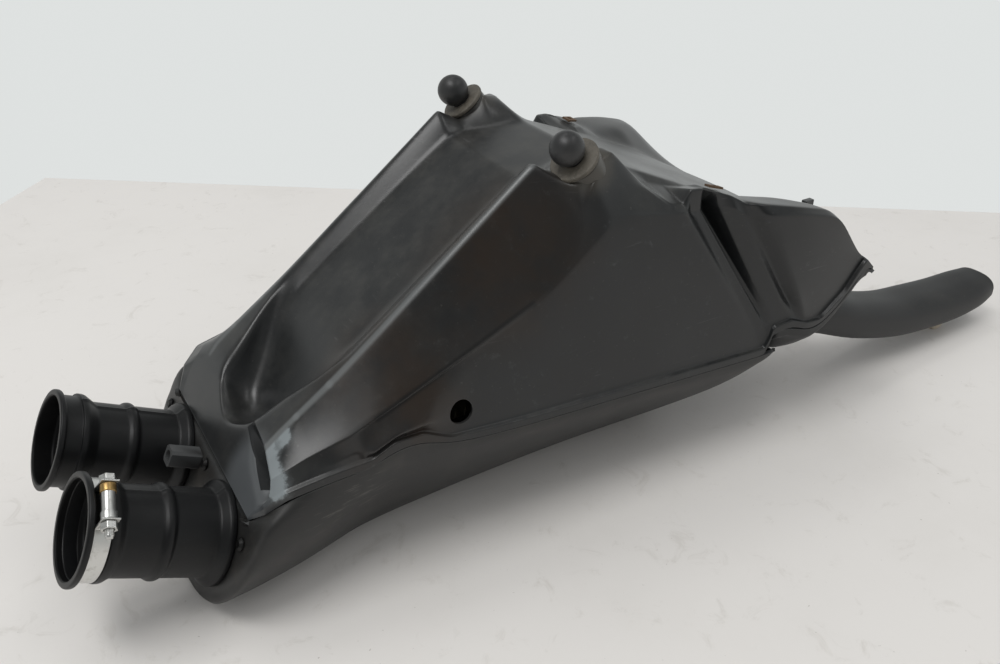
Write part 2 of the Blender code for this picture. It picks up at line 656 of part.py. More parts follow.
def duct_row(x, z, outer_lift, rim_x):
    """Half section of the dish: flat floor, raised outer edge and rim."""
    flat = [(x, y, z) for y in (0.0, 0.040, 0.075)]
    return flat + [(x, 0.102, z + outer_lift)] + duct_rim(rim_x)


def make_intake_duct(mat):
    floor = DISH_FLOOR_Z
    front = DUCT_FRONT_X
    front_rim = duct_rim(front)[1]
    ledge = tray_rim(TRAY_END_X)[1][2] + SEAM_GAP
    rear = REAR_RIM_Z - REAR_SEAM_GAP
    rows = [[(front, y, front_rim[2]) for y in (0.0, 0.040, 0.075, 0.098, 0.107)] + [front_rim],
            duct_row(front, ledge, 0.001, 0.2100),
            duct_row(DUCT_LEDGE_X, ledge, 0.002, 0.2200),
            duct_row(DUCT_LEDGE_X + 0.0020, floor + 0.002, 0.008, 0.2344),
            duct_row(0.2380, floor, 0.006, 0.2480),
            duct_row(0.2620, floor, 0.006, 0.2689),
            duct_row(0.2850, floor + 0.017, 0.006, 0.2855),
            duct_row(REAR_RIM_X - 0.002, rear - FLANGE_DEPTH, 0.002, 0.2893),
            [(REAR_RIM_X, y, rear) for y in (0.0, 0.040, 0.080, 0.105)] + [
                (REAR_RIM_X, 0.1125, rear), (RIM_PATH[-1][0], RIM_PATH[-1][1], RIM_PATH[-1][2] - REAR_SEAM_GAP)]]
    obj = shell("intake_duct", rows, mat, outward_up=False)
    combine(obj, snorkel_tube("snorkel_outside", 0.0, 0.0), "UNION")
    combine(obj, snorkel_tube("snorkel_bore", SNORKEL_WALL, 0.004), "DIFFERENCE")
    return obj


def snorkel_bottom(x):
    for (x0, _, z0, k0), (x1, _, z1, k1) in zip(SNORKEL_PATH, SNORKEL_PATH[1:]):
        if x <= x1:
            t = (x - x0) / (x1 - x0)
            return lerp(z0, z1, t) - lerp(k0, k1, t) * SNORKEL_HEIGHT / 2.0


def make_snorkel_foot(mat):
    ahead = snorkel_bottom(FOOT_X - FOOT_LENGTH / 2.0) - 2 * GAP
    behind = snorkel_bottom(FOOT_X + FOOT_LENGTH / 2.0) - 2 * GAP
    half = FOOT_LENGTH / 2.0
    outline = [(-half, 0.0), (half, 0.0), (half, behind), (-half, ahead)]
    frame = axis_frame((FOOT_X, FOOT_Y, 0.0), (0.0, -1.0, 0.0), (1.0, 0.0, 0.0))
    return prism("snorkel_foot", outline, -FOOT_WIDTH / 2.0, FOOT_WIDTH / 2.0, frame, mat)


LIP_BACK = BOOT_LENGTH - LIP_THICK
SEAT_BACK = LIP_BACK - CLAMP_SEAT_WIDTH


def make_boot(side_name, side, mat):
    bore = BOOT_RADIUS - BOOT_WALL
    inner_face = -WALL - GAP
    rib_low = RING_RIB_PLACE - RING_RIB_WIDTH / 2.0
    rib_high = RING_RIB_PLACE + RING_RIB_WIDTH / 2.0
    rib_slope = RING_RIB_RADIUS - BOOT_RADIUS
    bead_back = SEAT_BACK - BEAD_WIDTH
    bead_slope = BEAD_RADIUS - BOOT_RADIUS
    end = inner_face - BOOT_INNER_BEAD_THICK
    profile = [
        (LIP_MOUTH_RADIUS, BOOT_LENGTH), (LIP_RADIUS - 0.0012, BOOT_LENGTH), (LIP_RADIUS, BOOT_LENGTH - 0.0012),
        (LIP_RADIUS, LIP_BACK), (CLAMP_SEAT_RADIUS, LIP_BACK), (CLAMP_SEAT_RADIUS, SEAT_BACK),
        (BEAD_RADIUS, SEAT_BACK), (BEAD_RADIUS, bead_back), (BOOT_RADIUS, bead_back - bead_slope),
        (BOOT_RADIUS, rib_high + rib_slope), (RING_RIB_RADIUS, rib_high), (RING_RIB_RADIUS, rib_low),
        (BOOT_RADIUS, rib_low - rib_slope), (BOOT_RADIUS, BOOT_FLANGE_THICK + 0.003),
        (BOOT_RADIUS + 0.002, BOOT_FLANGE_THICK), (BOOT_FLANGE_RADIUS, BOOT_FLANGE_THICK),
        (BOOT_FLANGE_RADIUS, GAP), (BOOT_RADIUS, GAP), (BOOT_RADIUS, inner_face),
        (BOOT_INNER_BEAD_RADIUS, inner_face), (BOOT_RADIUS, end), (bore, end),
        (bore, BOOT_LENGTH - LIP_MOUTH_DEPTH),
    ]
    return lathe("boot_" + side_name, profile, front_frame(side * BOOT_HALF_PITCH, 0.0), mat)


def clamp_frame():
    """Clamp's middle on the right boot: x towards the screw, z outwards along the boot."""
    radial = Vector((0.0, -1.0, 0.0)) * math.cos(CLAMP_ANGLE) + UP * math.sin(CLAMP_ANGLE)
    middle = (LIP_BACK + SEAT_BACK) / 2.0
    return axis_frame(front_point(-BOOT_HALF_PITCH, 0.0, middle), OUT, radial)


BAND_INNER = CLAMP_SEAT_RADIUS + GAP
BAND_OUTER = BAND_INNER + BAND_THICK


def clamp_screw_frame():
    """On the screw's axis midway between the ears: z runs from the nut to the head."""
    clamp = clamp_frame()
    place = clamp @ Vector((BAND_OUTER + CLAMP_SCREW_LIFT, 0.0, 0.0))
    up = Vector(clamp.col[1][:3])
    up = up if up.z > 0.0 else -up
    return axis_frame(place, up, OUT)


def make_clamp_band(mat):
    gap_angle = math.asin(EAR_HALF_SPAN / BAND_INNER)
    outer_angle = math.asin((EAR_HALF_SPAN + BAND_THICK) / BAND_OUTER)
    tip = BAND_OUTER + EAR_HEIGHT
    outline = arc((0.0, 0.0), BAND_INNER, gap_angle, 2.0 * math.pi - gap_angle, 40)
    outline += [(tip, -EAR_HALF_SPAN), (tip, -EAR_HALF_SPAN - BAND_THICK)]
    outline += arc((0.0, 0.0), BAND_OUTER, 2.0 * math.pi - outer_angle, outer_angle, 40)
    outline += [(tip, EAR_HALF_SPAN + BAND_THICK), (tip, EAR_HALF_SPAN)]
    obj = prism("clamp_band", outline, -BAND_WIDTH / 2.0, BAND_WIDTH / 2.0, clamp_frame(), mat)
    reach = EAR_HALF_SPAN + 3 * BAND_THICK
    drill(obj, "ear_hole", clamp_screw_frame(), CLAMP_SCREW_RADIUS + GAP, -reach, reach)
    return obj


def make_clamp_fastener(zinc, brass):
    frame = clamp_screw_frame()
    ear_outside = EAR_HALF_SPAN + BAND_THICK + GAP
    ear_inside = EAR_HALF_SPAN - GAP
    bore = CLAMP_SCREW_RADIUS + GAP
    lathe("clamp_sleeve", [(bore, ear_inside), (CLAMP_SLEEVE_RADIUS, ear_inside), (CLAMP_SLEEVE_RADIUS, -ear_inside),
                           (bore, -ear_inside)], frame, zinc, SMALL_STEPS)
    nut = prism("clamp_nut", polygon(6, CLAMP_NUT_RADIUS), -ear_outside - CLAMP_NUT_HEIGHT, -ear_outside, frame, brass)
    reach = ear_outside + 2 * CLAMP_NUT_HEIGHT
    drill(nut, "nut_hole", frame, bore, -reach, reach)
    head = prism("clamp_screw", polygon(6, CLAMP_HEAD_RADIUS), ear_outside, ear_outside + CLAMP_HEAD_HEIGHT, frame, zinc)
    tip = -ear_outside - CLAMP_NUT_HEIGHT - CLAMP_TIP_LENGTH
    middle = ear_outside + CLAMP_HEAD_HEIGHT / 2.0
    shank = [(0.0, middle), (CLAMP_SCREW_RADIUS, middle), (CLAMP_SCREW_RADIUS, tip), (0.0, tip)]
    combine(head, lathe("clamp_shank", shank, frame, steps=SMALL_STEPS), "UNION")


PLATE_TOP = -WALL - GAP - BOOT_INNER_BEAD_THICK - GAP
PLATE_BACK = PLATE_TOP - STACK_PLATE_THICK
BELL_RADIUS = BOOT_RADIUS - BOOT_WALL - GAP


def make_stack_plate(mat):
    """Inner plate: x is across and y is up the wall."""
    half = SIDE_SCREW_Y + STACK_PLATE_MARGIN
    top = STACK_PLATE_TOP_V
    low = STACK_PLATE_BOTTOM_V
    r_top = STACK_PLATE_TOP_RADIUS
    r_low = STACK_PLATE_BOTTOM_RADIUS
    quarter = math.pi / 2.0
    outline = arc((half - r_top, top - r_top), r_top, 0.0, quarter, 4)
    outline += arc((r_top - half, top - r_top), r_top, quarter, 2 * quarter, 4)
    outline += arc((r_low - half, low + r_low), r_low, 2 * quarter, 3 * quarter, 8)
    outline += arc((half - r_low, low + r_low), r_low, 3 * quarter, 4 * quarter, 8)
    frame = axis_frame(front_point(0.0, 0.0), OUT)
    flip = Vector(frame.col[1][:3]).dot(UP)
    outline = [(x, y * flip) for x, y in outline]
    obj = prism("stack_plate", outline, PLATE_BACK, PLATE_TOP, frame, mat)
    for side_name, side in SIDES.items():
        drill(obj, "bell_hole_" + side_name, front_frame(side * BOOT_HALF_PITCH, 0.0), BELL_RADIUS + GAP,
              2 * PLATE_BACK, -PLATE_BACK, ROUND_STEPS)
    for name, (y, v) in screw_places().items():
        drill(obj, "plate_hole_" + name, front_frame(y, v), SCREW_RADIUS + GAP, 2 * PLATE_BACK, -PLATE_BACK)
    return obj


def make_bellmouth(side_name, side, mat):
    bore = BELL_RADIUS - BELL_WALL
    seat = PLATE_BACK - GAP
    end = seat - BELL_FLARE_LENGTH
    profile = [(BELL_RADIUS, BELL_REACH), (BELL_RADIUS, seat), (BELL_FLARE_RADIUS, seat), (BELL_FLARE_RADIUS, end),
               (lerp(bore, BELL_FLARE_RADIUS, 0.65), end), (lerp(bore, BELL_FLARE_RADIUS, 0.2), seat),
               (bore, PLATE_TOP), (bore, BELL_REACH)]
    return lathe("bellmouth_" + side_name, profile, front_frame(side * BOOT_HALF_PITCH, 0.0), mat)


def make_front_screw(name, place, mat):
    end = PLATE_BACK - STACK_PLATE_THICK
    head = GAP + SCREW_HEAD_HEIGHT
    profile = [(0.0, head), (0.6 * SCREW_HEAD_RADIUS, head), (SCREW_HEAD_RADIUS, GAP + 0.4 * SCREW_HEAD_HEIGHT),
               (SCREW_HEAD_RADIUS, GAP), (SCREW_RADIUS, GAP), (SCREW_RADIUS, end), (0.0, end)]
    return lathe("front_screw_" + name, profile, front_frame(*place), mat, SMALL_STEPS)


def make_breather_spigot(mat):
    """Square-sided stub with a round bore, on a round shank through the wall."""
    frame = front_frame(SPIGOT_Y, SPIGOT_V)
    flat = SPIGOT_HALF - SPIGOT_CORNER
    outline = [(x * a, y * b) for x, y in ((1, 1), (-1, 1), (-1, -1), (1, -1))
               for a, b in (((SPIGOT_HALF, flat), (flat, SPIGOT_HALF)) if x == y else ((flat, SPIGOT_HALF), (SPIGOT_HALF, flat)))]
    spigot = prism("breather_spigot", outline, GAP, SPIGOT_LENGTH, frame, mat)
    inside = -2.0 * WALL
    overlap = GAP + WALL
    shank = [(0.0, overlap), (SPIGOT_SHANK, overlap), (SPIGOT_SHANK, inside), (0.0, inside)]
    combine(spigot, lathe("spigot_shank", shank, frame, steps=SMALL_STEPS), "UNION")
    drill(spigot, "spigot_bore", frame, SPIGOT_BORE, 2.0 * inside, 2.0 * SPIGOT_LENGTH)


def make_stud(side_name, side, rubber, seat_mat, steel):
    frame = stud_frame(side)
    seat_bottom = -STUD_SEAT_DROP - STUD_SEAT_THICK
    nut_bottom = BOSS_BOTTOM - GAP - STUD_NUT_HEIGHT
    end = nut_bottom - STUD_TIP
    neck_angle = math.pi - math.asin(STUD_NECK_RADIUS / BALL_RADIUS)
    ball = [(BALL_RADIUS * math.sin(neck_angle * i / 9), BALL_RADIUS * math.cos(neck_angle * i / 9)) for i in range(10)]
    profile = ball + [(STUD_NECK_RADIUS, seat_bottom + GAP), (STUD_SHANK_RADIUS, seat_bottom + GAP),
                      (STUD_SHANK_RADIUS, end), (0.0, end)]
    lathe("ball_stud_" + side_name, profile, frame, rubber, 20)
    hole = STUD_NECK_RADIUS + GAP
    seat = [(hole, -STUD_SEAT_DROP), (0.88 * STUD_SEAT_RADIUS, -STUD_SEAT_DROP),
            (STUD_SEAT_RADIUS, -STUD_SEAT_DROP - 0.3 * STUD_SEAT_THICK), (STUD_SEAT_RADIUS, seat_bottom), (hole, seat_bottom)]
    lathe("stud_seat_" + side_name, seat, frame, seat_mat, 24)
    nut = prism("stud_nut_" + side_name, polygon(6, STUD_NUT_RADIUS), nut_bottom, BOSS_BOTTOM - GAP, frame, steel)
    drill(nut, "stud_nut_hole_" + side_name, frame, STUD_SHANK_RADIUS + GAP, 2 * nut_bottom, 0.0)


def make_clip_nut(side_name, side, mat):
    rows = lid_rows()
    corners = [Vector(rows[i][j]) for i in (CLIP_STATION, CLIP_STATION + 1) for j in (2, 3)]
    for corner in corners:
        corner.y *= side
    along = corners[2] - corners[0]
    normal = along.cross(corners[1] - corners[0]).normalized()
    normal = normal if normal.z > 0.0 else -normal
    place = sum(corners, Vector()) / 4.0 + normal * CLIP_LIFT
    outline = [(-CLIP_LENGTH / 2, -CLIP_WIDTH / 2), (CLIP_LENGTH / 2, -CLIP_WIDTH / 2),
               (CLIP_LENGTH / 2, CLIP_WIDTH / 2), (-CLIP_LENGTH / 2, CLIP_WIDTH / 2)]
    frame = axis_frame(place, normal, along)
    clip = prism("clip_nut_" + side_name, outline, -CLIP_THICK / 2, CLIP_THICK / 2, frame, mat)
    drill(clip, "clip_hole_" + side_name, frame, CLIP_HOLE, -2 * CLIP_THICK, 2 * CLIP_THICK)


def make_filter(frame_mat, paper):
    stations = [lerp(FILTER_FRONT_X, FILTER_REAR_X, i / 8) for i in range(9)]
    edge = [(x, tray_half(x, FRAME_BOTTOM_Z) - WALL - FRAME_CLEARANCE) for x in stations]
    outline = edge + [(x, -y) for x, y in reversed(edge)]
    base = Matrix.Translation((0.0, 0.0, FRAME_BOTTOM_Z))
    frame = prism("filter_frame", outline, 0.0, FRAME_HEIGHT, base, frame_mat)
    x0 = FILTER_FRONT_X + FRAME_END_WIDTH
    x1 = FILTER_REAR_X - FRAME_END_WIDTH
    half = ELEMENT_HALF_WIDTH + GAP
    window = [(x0, -half), (x1, -half), (x1, half), (x0, half)]
    combine(frame, prism("filter_window", window, -FRAME_HEIGHT, 2 * FRAME_HEIGHT, base), "DIFFERENCE")
    pitch = (x1 - x0 - 2 * GAP) / PLEAT_COUNT
    low = FRAME_BOTTOM_Z + FRAME_HEIGHT / 2.0 - PLEAT_HEIGHT / 2.0
    half = ELEMENT_HALF_WIDTH
    folds = []
    for i in range(2 * PLEAT_COUNT + 1):
        x = x0 + GAP + pitch * i / 2.0
        z = low if i % 2 == 0 else low + PLEAT_HEIGHT - PLEAT_RISE
        folds.append([(x, -half, z), (x, -half, z + PLEAT_RISE), (x, half, z + PLEAT_RISE), (x, half, z)])
    ribbon("filter_element", folds, paper)


def make_drain_plug(mat):
    collar = GAP + DRAIN_FLANGE_THICK
    inside = -WALL - GAP
    end = inside - DRAIN_FLANGE_THICK
    profile = [(0.0, collar), (0.8 * DRAIN_FLANGE_RADIUS, collar), (DRAIN_FLANGE_RADIUS, GAP + 0.4 * DRAIN_FLANGE_THICK),
               (DRAIN_FLANGE_RADIUS, GAP), (DRAIN_RADIUS, GAP), (DRAIN_RADIUS, inside), (1.15 * DRAIN_RADIUS, inside),
               (0.8 * DRAIN_RADIUS, end), (0.0, end)]
    return lathe("drain_plug", profile, drain_frame(), mat, SMALL_STEPS)


def main():
    clear_scene()
    plastic = material("moulded_plastic", (0.022, 0.023, 0.024), 0.42)
    tray_plastic = material("tray_plastic", (0.017, 0.017, 0.017), 0.50)
    duct_plastic = material("duct_plastic", (0.026, 0.027, 0.028), 0.55)
    rubber = material("boot_rubber", (0.012, 0.012, 0.013), 0.60)
    ball_rubber = material("ball_rubber", (0.014, 0.014, 0.015), 0.48)
    seal_rubber = material("seal_rubber", (0.010, 0.010, 0.010), 0.70)
    seat = material("stud_collar", (0.200, 0.165, 0.115), 0.75)
    foam = material("foam_pad", (0.420, 0.360, 0.290), 0.90)
    zinc = material("zinc_steel", (0.560, 0.560, 0.540), 0.32, 1.0)
    brass = material("brass", (0.450, 0.300, 0.120), 0.35, 1.0)
    rust = material("rusty_steel", (0.200, 0.095, 0.040), 0.80, 0.4)
    paper = material("filter_paper", (0.560, 0.480, 0.300), 0.90)
    frame = material("filter_frame", (0.030, 0.030, 0.032), 0.75)
    inner = material("inner_plastic", (0.030, 0.030, 0.030), 0.50)

    make_upper_housing(plastic)
    make_lower_housing(tray_plastic)
    make_intake_duct(duct_plastic)
    make_snorkel_foot(foam)
    make_seam_seal(seal_rubber)
    make_stack_plate(inner)
    for side_name, side in SIDES.items():
        make_boot(side_name, side, rubber)
        make_bellmouth(side_name, side, inner)
        make_stud(side_name, side, ball_rubber, seat, zinc)
        make_clip_nut(side_name, side, rust)
    for name, place in screw_places().items():
        make_front_screw(name, place, zinc)
    make_clamp_band(zinc)
    make_clamp_fastener(zinc, brass)
    make_breather_spigot(inner)
    make_filter(frame, paper)
    make_drain_plug(seal_rubber)


main()
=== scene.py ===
"""Dressed airbox: moulded lid, tray and duct with their boots, clamp, studs and filter, seen from the front right."""

import math

import bmesh
import bpy
from mathutils import Matrix, Vector


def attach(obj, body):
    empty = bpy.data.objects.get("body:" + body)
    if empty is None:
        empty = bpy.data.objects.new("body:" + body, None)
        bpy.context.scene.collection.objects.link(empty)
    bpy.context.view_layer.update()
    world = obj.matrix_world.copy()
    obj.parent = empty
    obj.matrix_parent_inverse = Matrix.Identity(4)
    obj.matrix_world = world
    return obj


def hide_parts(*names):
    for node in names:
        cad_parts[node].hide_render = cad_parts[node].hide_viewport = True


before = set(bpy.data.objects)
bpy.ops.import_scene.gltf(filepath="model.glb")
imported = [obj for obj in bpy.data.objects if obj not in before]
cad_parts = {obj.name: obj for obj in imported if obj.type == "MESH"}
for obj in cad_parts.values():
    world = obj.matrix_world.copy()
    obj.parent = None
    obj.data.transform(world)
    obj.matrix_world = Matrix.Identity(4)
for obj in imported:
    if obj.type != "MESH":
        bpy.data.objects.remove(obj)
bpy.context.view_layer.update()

# Metres, in the frame of the solids: +X towards the snorkel, left is +Y
WALL = 0.0028
LID_WALL = 0.0018
GAP = 0.0003
SEAM_GAP = 0.0030
REAR_SEAM_GAP = 0.0050

BOOT_TILT = math.radians(27.5)
FRONT_X = -0.1790
FRONT_Z = 0.0438
FRONT_BOTTOM_V = -0.0490
FRONT_SEAM_V = 0.0310
FRONT_HALF_WIDTH = 0.0940

BOOT_HALF_PITCH = 0.0462
BOOT_LENGTH = 0.0825
BOOT_RADIUS = 0.0262
BOOT_WALL = 0.0030
BOOT_FLANGE_RADIUS = 0.0315
BOOT_FLANGE_THICK = 0.0042
LIP_RADIUS = 0.0316
LIP_THICK = 0.0036
LIP_MOUTH_RADIUS = 0.0275
LIP_MOUTH_DEPTH = 0.0120
CLAMP_SEAT_WIDTH = 0.0100
CLAMP_SEAT_RADIUS = 0.0272
FREE_SEAT_RADIUS = 0.0287
BEAD_RADIUS = 0.0290
FREE_BEAD_RADIUS = 0.0304
BEAD_WIDTH = 0.0034
RING_RIB_RADIUS = 0.0280
RING_RIB_WIDTH = 0.0030
RING_RIB_PLACE = 0.0370

BAND_WIDTH = 0.0094
BAND_THICK = 0.0010
EAR_HEIGHT = 0.0105
EAR_HALF_SPAN = 0.0105
CLAMP_ANGLE = math.radians(60.0)
CLAMP_SCREW_RADIUS = 0.0025
CLAMP_SCREW_LIFT = 0.0058
CLAMP_SLEEVE_RADIUS = 0.0042
CLAMP_HEAD_RADIUS = 0.0046
CLAMP_HEAD_HEIGHT = 0.0036
CLAMP_NUT_RADIUS = 0.0046
CLAMP_NUT_HEIGHT = 0.0040
CLAMP_TIP_LENGTH = 0.0045

# Rim of the lid: x, half width and height of its lower edge, front corner to rear corner
RIM_PATH = [
    (-0.1648, 0.0755, 0.0713), (-0.1609, 0.0808, 0.0757), (-0.1570, 0.0860, 0.0800), (-0.1528, 0.0879, 0.0832),
    (-0.1450, 0.0915, 0.0890), (-0.1200, 0.0945, 0.0935), (-0.0950, 0.0965, 0.0950), (-0.0800, 0.0975, 0.1025),
    (-0.0620, 0.0985, 0.1025), (-0.0450, 0.0993, 0.0935), (0.0000, 0.1015, 0.0900), (0.2000, 0.1110, 0.0825),
    (0.2030, 0.1115, 0.0850), (0.2055, 0.1120, 0.0970), (0.2100, 0.1128, 0.1020), (0.2200, 0.1148, 0.1022),
    (0.2344, 0.1170, 0.0970), (0.2480, 0.1175, 0.0965), (0.2689, 0.1175, 0.1123), (0.2855, 0.1175, 0.1347),
    (0.2945, 0.1170, 0.1290),
]
RIM_BEAD_HEIGHT = 0.0065
RIM_BEAD_STEP = 0.0028
LID_LAP = 0.0016
TRAY_LAP = 0.0008
SEAM_STEP_X = 0.2000
TRAY_END_X = 0.2125

RIDGE_TOP_X = 0.0345
RIDGE_TOP_Z = 0.2405
RIDGE_SLOPE = math.radians(38.0)
RIDGE_OUTER_Y = 0.0614
RIDGE_INNER_Y = 0.0560
TROUGH_HALF_WIDTH = 0.0440
CREASE_Y = 0.0885
DECK_FRONT_X = 0.0870
DECK_FRONT_Z = 0.2310
DECK_REAR_X = 0.2540
DECK_REAR_Z = 0.1605
PLATE_LEAN = 0.105
SLOT_ROWS = (19, 20)
WING_ROW = 26
WING_SHARPNESS = 0.62
RIDGE_SHARPNESS = 0.10
CREST_SHARE = 0.17
SLOT_DEPTH = 0.0130
FLANGE_FOOT_X = 0.2775
FLANGE_FOOT_Z = 0.1440
REAR_RIM_X = 0.2960
REAR_RIM_Z = 0.1290
SIDE_HOLE_X = -0.0359
SIDE_HOLE_Z = 0.1097
SIDE_HOLE_RADIUS = 0.0078

FLOOR_HALF_MIN = 0.0310
FLOOR_HALF_FRONT = 0.0540
FLOOR_WAIST_X = 0.0500
FLOOR_REAR_X = 0.1680
REAR_SLOPE_X = 0.1960
REAR_SLOPE_Z = 0.0180
BILGE_WIDTH = 0.0140
BILGE_HEIGHT = 0.0090
WALL_BULGE = 0.0040

STUD_X = 0.0520
STUD_Y = 0.0691
STUD_Z = 0.2484
STUD_OUTWARD = 0.12
BALL_RADIUS = 0.0106
STUD_NECK_RADIUS = 0.0058
STUD_SHANK_RADIUS = 0.0040
STUD_SEAT_DROP = 0.0092
STUD_SEAT_THICK = 0.0034
STUD_SEAT_RADIUS = 0.0155
STUD_BOSS_RADIUS = 0.0146
STUD_BOSS_LENGTH = 0.0190
PAD_SINK = 0.0008

SNORKEL_PATH = [
    (0.2620, -0.0620, 0.0800, 1.00), (0.3000, -0.0645, 0.0680, 1.00), (0.3450, -0.0660, 0.0500, 1.00),
    (0.3940, -0.0670, 0.0365, 1.00), (0.4360, -0.0670, 0.0310, 1.00), (0.4750, -0.0670, 0.0280, 0.97),
    (0.5080, -0.0670, 0.0285, 0.90), (0.5279, -0.0670, 0.0305, 0.76),
]
SNORKEL_WIDTH = 0.0500
SNORKEL_HEIGHT = 0.0340
SNORKEL_WALL = 0.0024
SNORKEL_SQUARENESS = 2.6
DISH_FLOOR_Z = 0.0660
DUCT_FRONT_X = 0.2080
DUCT_LEDGE_X = 0.2160
FLANGE_DEPTH = 0.0135

FOOT_X = 0.4750
FOOT_Y = -0.0690
FOOT_LENGTH = 0.0140
FOOT_WIDTH = 0.0120
FOOT_HEIGHT = 0.0114
FOOT_SQUARENESS = 3.5
FOOT_FLAT = 0.85
TAB_PLACE = (0.2496, -0.0850, 0.1800)
TAB_LENGTH = 0.0080
TAB_WIDTH = 0.0045
TAB_HEIGHT = 0.0100

# Camera and table edge, solved from the photograph's perspective
CAMERA_PLACE = (-0.2412, -0.4805, 0.4265)
CAMERA_LOOK = (0.44267, 0.73461, -0.51418)
CAMERA_LENS = 32.55
DARK_SIDE = (-0.35, -0.937, 0.0)
TABLE_CORNER = (-0.175, 0.759)
TABLE_BACK = (0.945, -0.700)
TABLE_LEFT = (-0.059, -0.067)

OUT = Vector((-math.cos(BOOT_TILT), 0.0, math.sin(BOOT_TILT)))
UP = Vector((math.sin(BOOT_TILT), 0.0, math.cos(BOOT_TILT)))
SIDES = {"left": 1.0, "right": -1.0}


# Node materials
class Shader:
    """Principled material with small helpers that add texture nodes in object space."""

    def __init__(self, name, colour, roughness, metallic=0.0, specular=0.5):
        self.mat = bpy.data.materials.new(name)
        self.mat.use_nodes = True
        self.tree = self.mat.node_tree
        self.bsdf = self.tree.nodes["Principled BSDF"]
        self.bsdf.inputs["Base Color"].default_value = (*colour, 1.0)
        self.bsdf.inputs["Roughness"].default_value = roughness
        self.bsdf.inputs["Metallic"].default_value = metallic
        self.bsdf.inputs["Specular IOR Level"].default_value = specular
        self.coords = self.tree.nodes.new("ShaderNodeTexCoord").outputs["Object"]
        self.height = None

    def link(self, source, target):
        self.tree.links.new(source, target)

    def scaled(self, scale):
        node = self.tree.nodes.new("ShaderNodeMapping")
        node.inputs["Scale"].default_value = scale
        self.link(self.coords, node.inputs["Vector"])
        return node.outputs["Vector"]

    def noise(self, scale, detail=4.0, rough=0.55, stretch=None, distortion=0.0):
        node = self.tree.nodes.new("ShaderNodeTexNoise")
        node.inputs["Scale"].default_value = scale
        node.inputs["Detail"].default_value = detail
        node.inputs["Roughness"].default_value = rough
        node.inputs["Distortion"].default_value = distortion
        self.link(self.scaled(stretch) if stretch else self.coords, node.inputs["Vector"])
        return node.outputs["Fac"]

    def ramp(self, value, low, high, smooth=True):
        """0 below low and 1 above high."""
        node = self.tree.nodes.new("ShaderNodeMapRange")
        node.interpolation_type = "SMOOTHSTEP" if smooth else "LINEAR"
        node.inputs["From Min"].default_value = low
        node.inputs["From Max"].default_value = high
        self.link(value, node.inputs["Value"])
        return node.outputs["Result"]

    def maths(self, operation, a, b=None):
        node = self.tree.nodes.new("ShaderNodeMath")
        node.operation = operation
        for socket, value in zip(node.inputs, (a, b)):
            if value is None:
                continue
            if isinstance(value, (int, float)):
                socket.default_value = value
            else:
                self.link(value, socket)
        return node.outputs["Value"]

    def near(self, place, inner, outer):
        """1 within the inner distance of a place, fading to 0 at the outer one."""
        node = self.tree.nodes.new("ShaderNodeVectorMath")
        node.operation = "DISTANCE"
        node.inputs[1].default_value = place
        self.link(self.coords, node.inputs[0])
        return self.ramp(node.outputs["Value"], outer, inner)

    def along(self, start, end, inner, outer):
        """1 within the inner distance of a line between two places, fading to 0 at the outer one."""
        line = Vector(end) - Vector(start)
        offset = self.tree.nodes.new("ShaderNodeVectorMath")
        offset.operation = "SUBTRACT"
        offset.inputs[1].default_value = start
        self.link(self.coords, offset.inputs[0])
        share = self.tree.nodes.new("ShaderNodeVectorMath")
        share.operation = "DOT_PRODUCT"
        share.inputs[1].default_value = line / line.length_squared
        self.link(offset.outputs["Vector"], share.inputs[0])
        foot = self.tree.nodes.new("ShaderNodeVectorMath")
        foot.operation = "SCALE"
        foot.inputs[0].default_value = line
        self.link(self.ramp(share.outputs["Value"], 0.0, 1.0, False), foot.inputs["Scale"])
        gap = self.tree.nodes.new("ShaderNodeVectorMath")
        gap.operation = "DISTANCE"
        self.link(offset.outputs["Vector"], gap.inputs[0])
        self.link(foot.outputs["Vector"], gap.inputs[1])
        return self.ramp(gap.outputs["Value"], outer, inner)

    def facing(self, direction, low, high):
        """1 where the surface faces a direction."""
        geometry = self.tree.nodes.new("ShaderNodeNewGeometry")
        node = self.tree.nodes.new("ShaderNodeVectorMath")
        node.operation = "DOT_PRODUCT"
        node.inputs[1].default_value = Vector(direction).normalized()
        self.link(geometry.outputs["Normal"], node.inputs[0])
        return self.ramp(node.outputs["Value"], low, high)

    def edges(self, low, high):
        geometry = self.tree.nodes.new("ShaderNodeNewGeometry")
        return self.ramp(geometry.outputs["Pointiness"], low, high)

    def tint(self, factor, colour, amount=1.0):
        """Mix a colour over what the base colour holds so far."""
        node = self.tree.nodes.new("ShaderNodeMix")
        node.data_type = "RGBA"
        base = self.bsdf.inputs["Base Color"]
        if base.is_linked:
            self.link(base.links[0].from_socket, node.inputs["A"])
        else:
            node.inputs["A"].default_value = base.default_value
        node.inputs["B"].default_value = (*colour, 1.0)
        self.link(self.maths("MULTIPLY", factor, amount), node.inputs["Factor"])
        self.link(node.outputs["Result"], base)

    def rough(self, factor, low, high):
        node = self.tree.nodes.new("ShaderNodeMapRange")
        node.inputs["To Min"].default_value = low
        node.inputs["To Max"].default_value = high
        self.link(factor, node.inputs["Value"])
        self.link(node.outputs["Result"], self.bsdf.inputs["Roughness"])

    def bump(self, height, strength, distance):
        node = self.tree.nodes.new("ShaderNodeBump")
        node.inputs["Strength"].default_value = strength
        node.inputs["Distance"].default_value = distance
        self.link(height, node.inputs["Height"])
        normal = self.bsdf.inputs["Normal"]
        if normal.is_linked:
            self.link(normal.links[0].from_socket, node.inputs["Normal"])
        self.link(node.outputs["Normal"], normal)


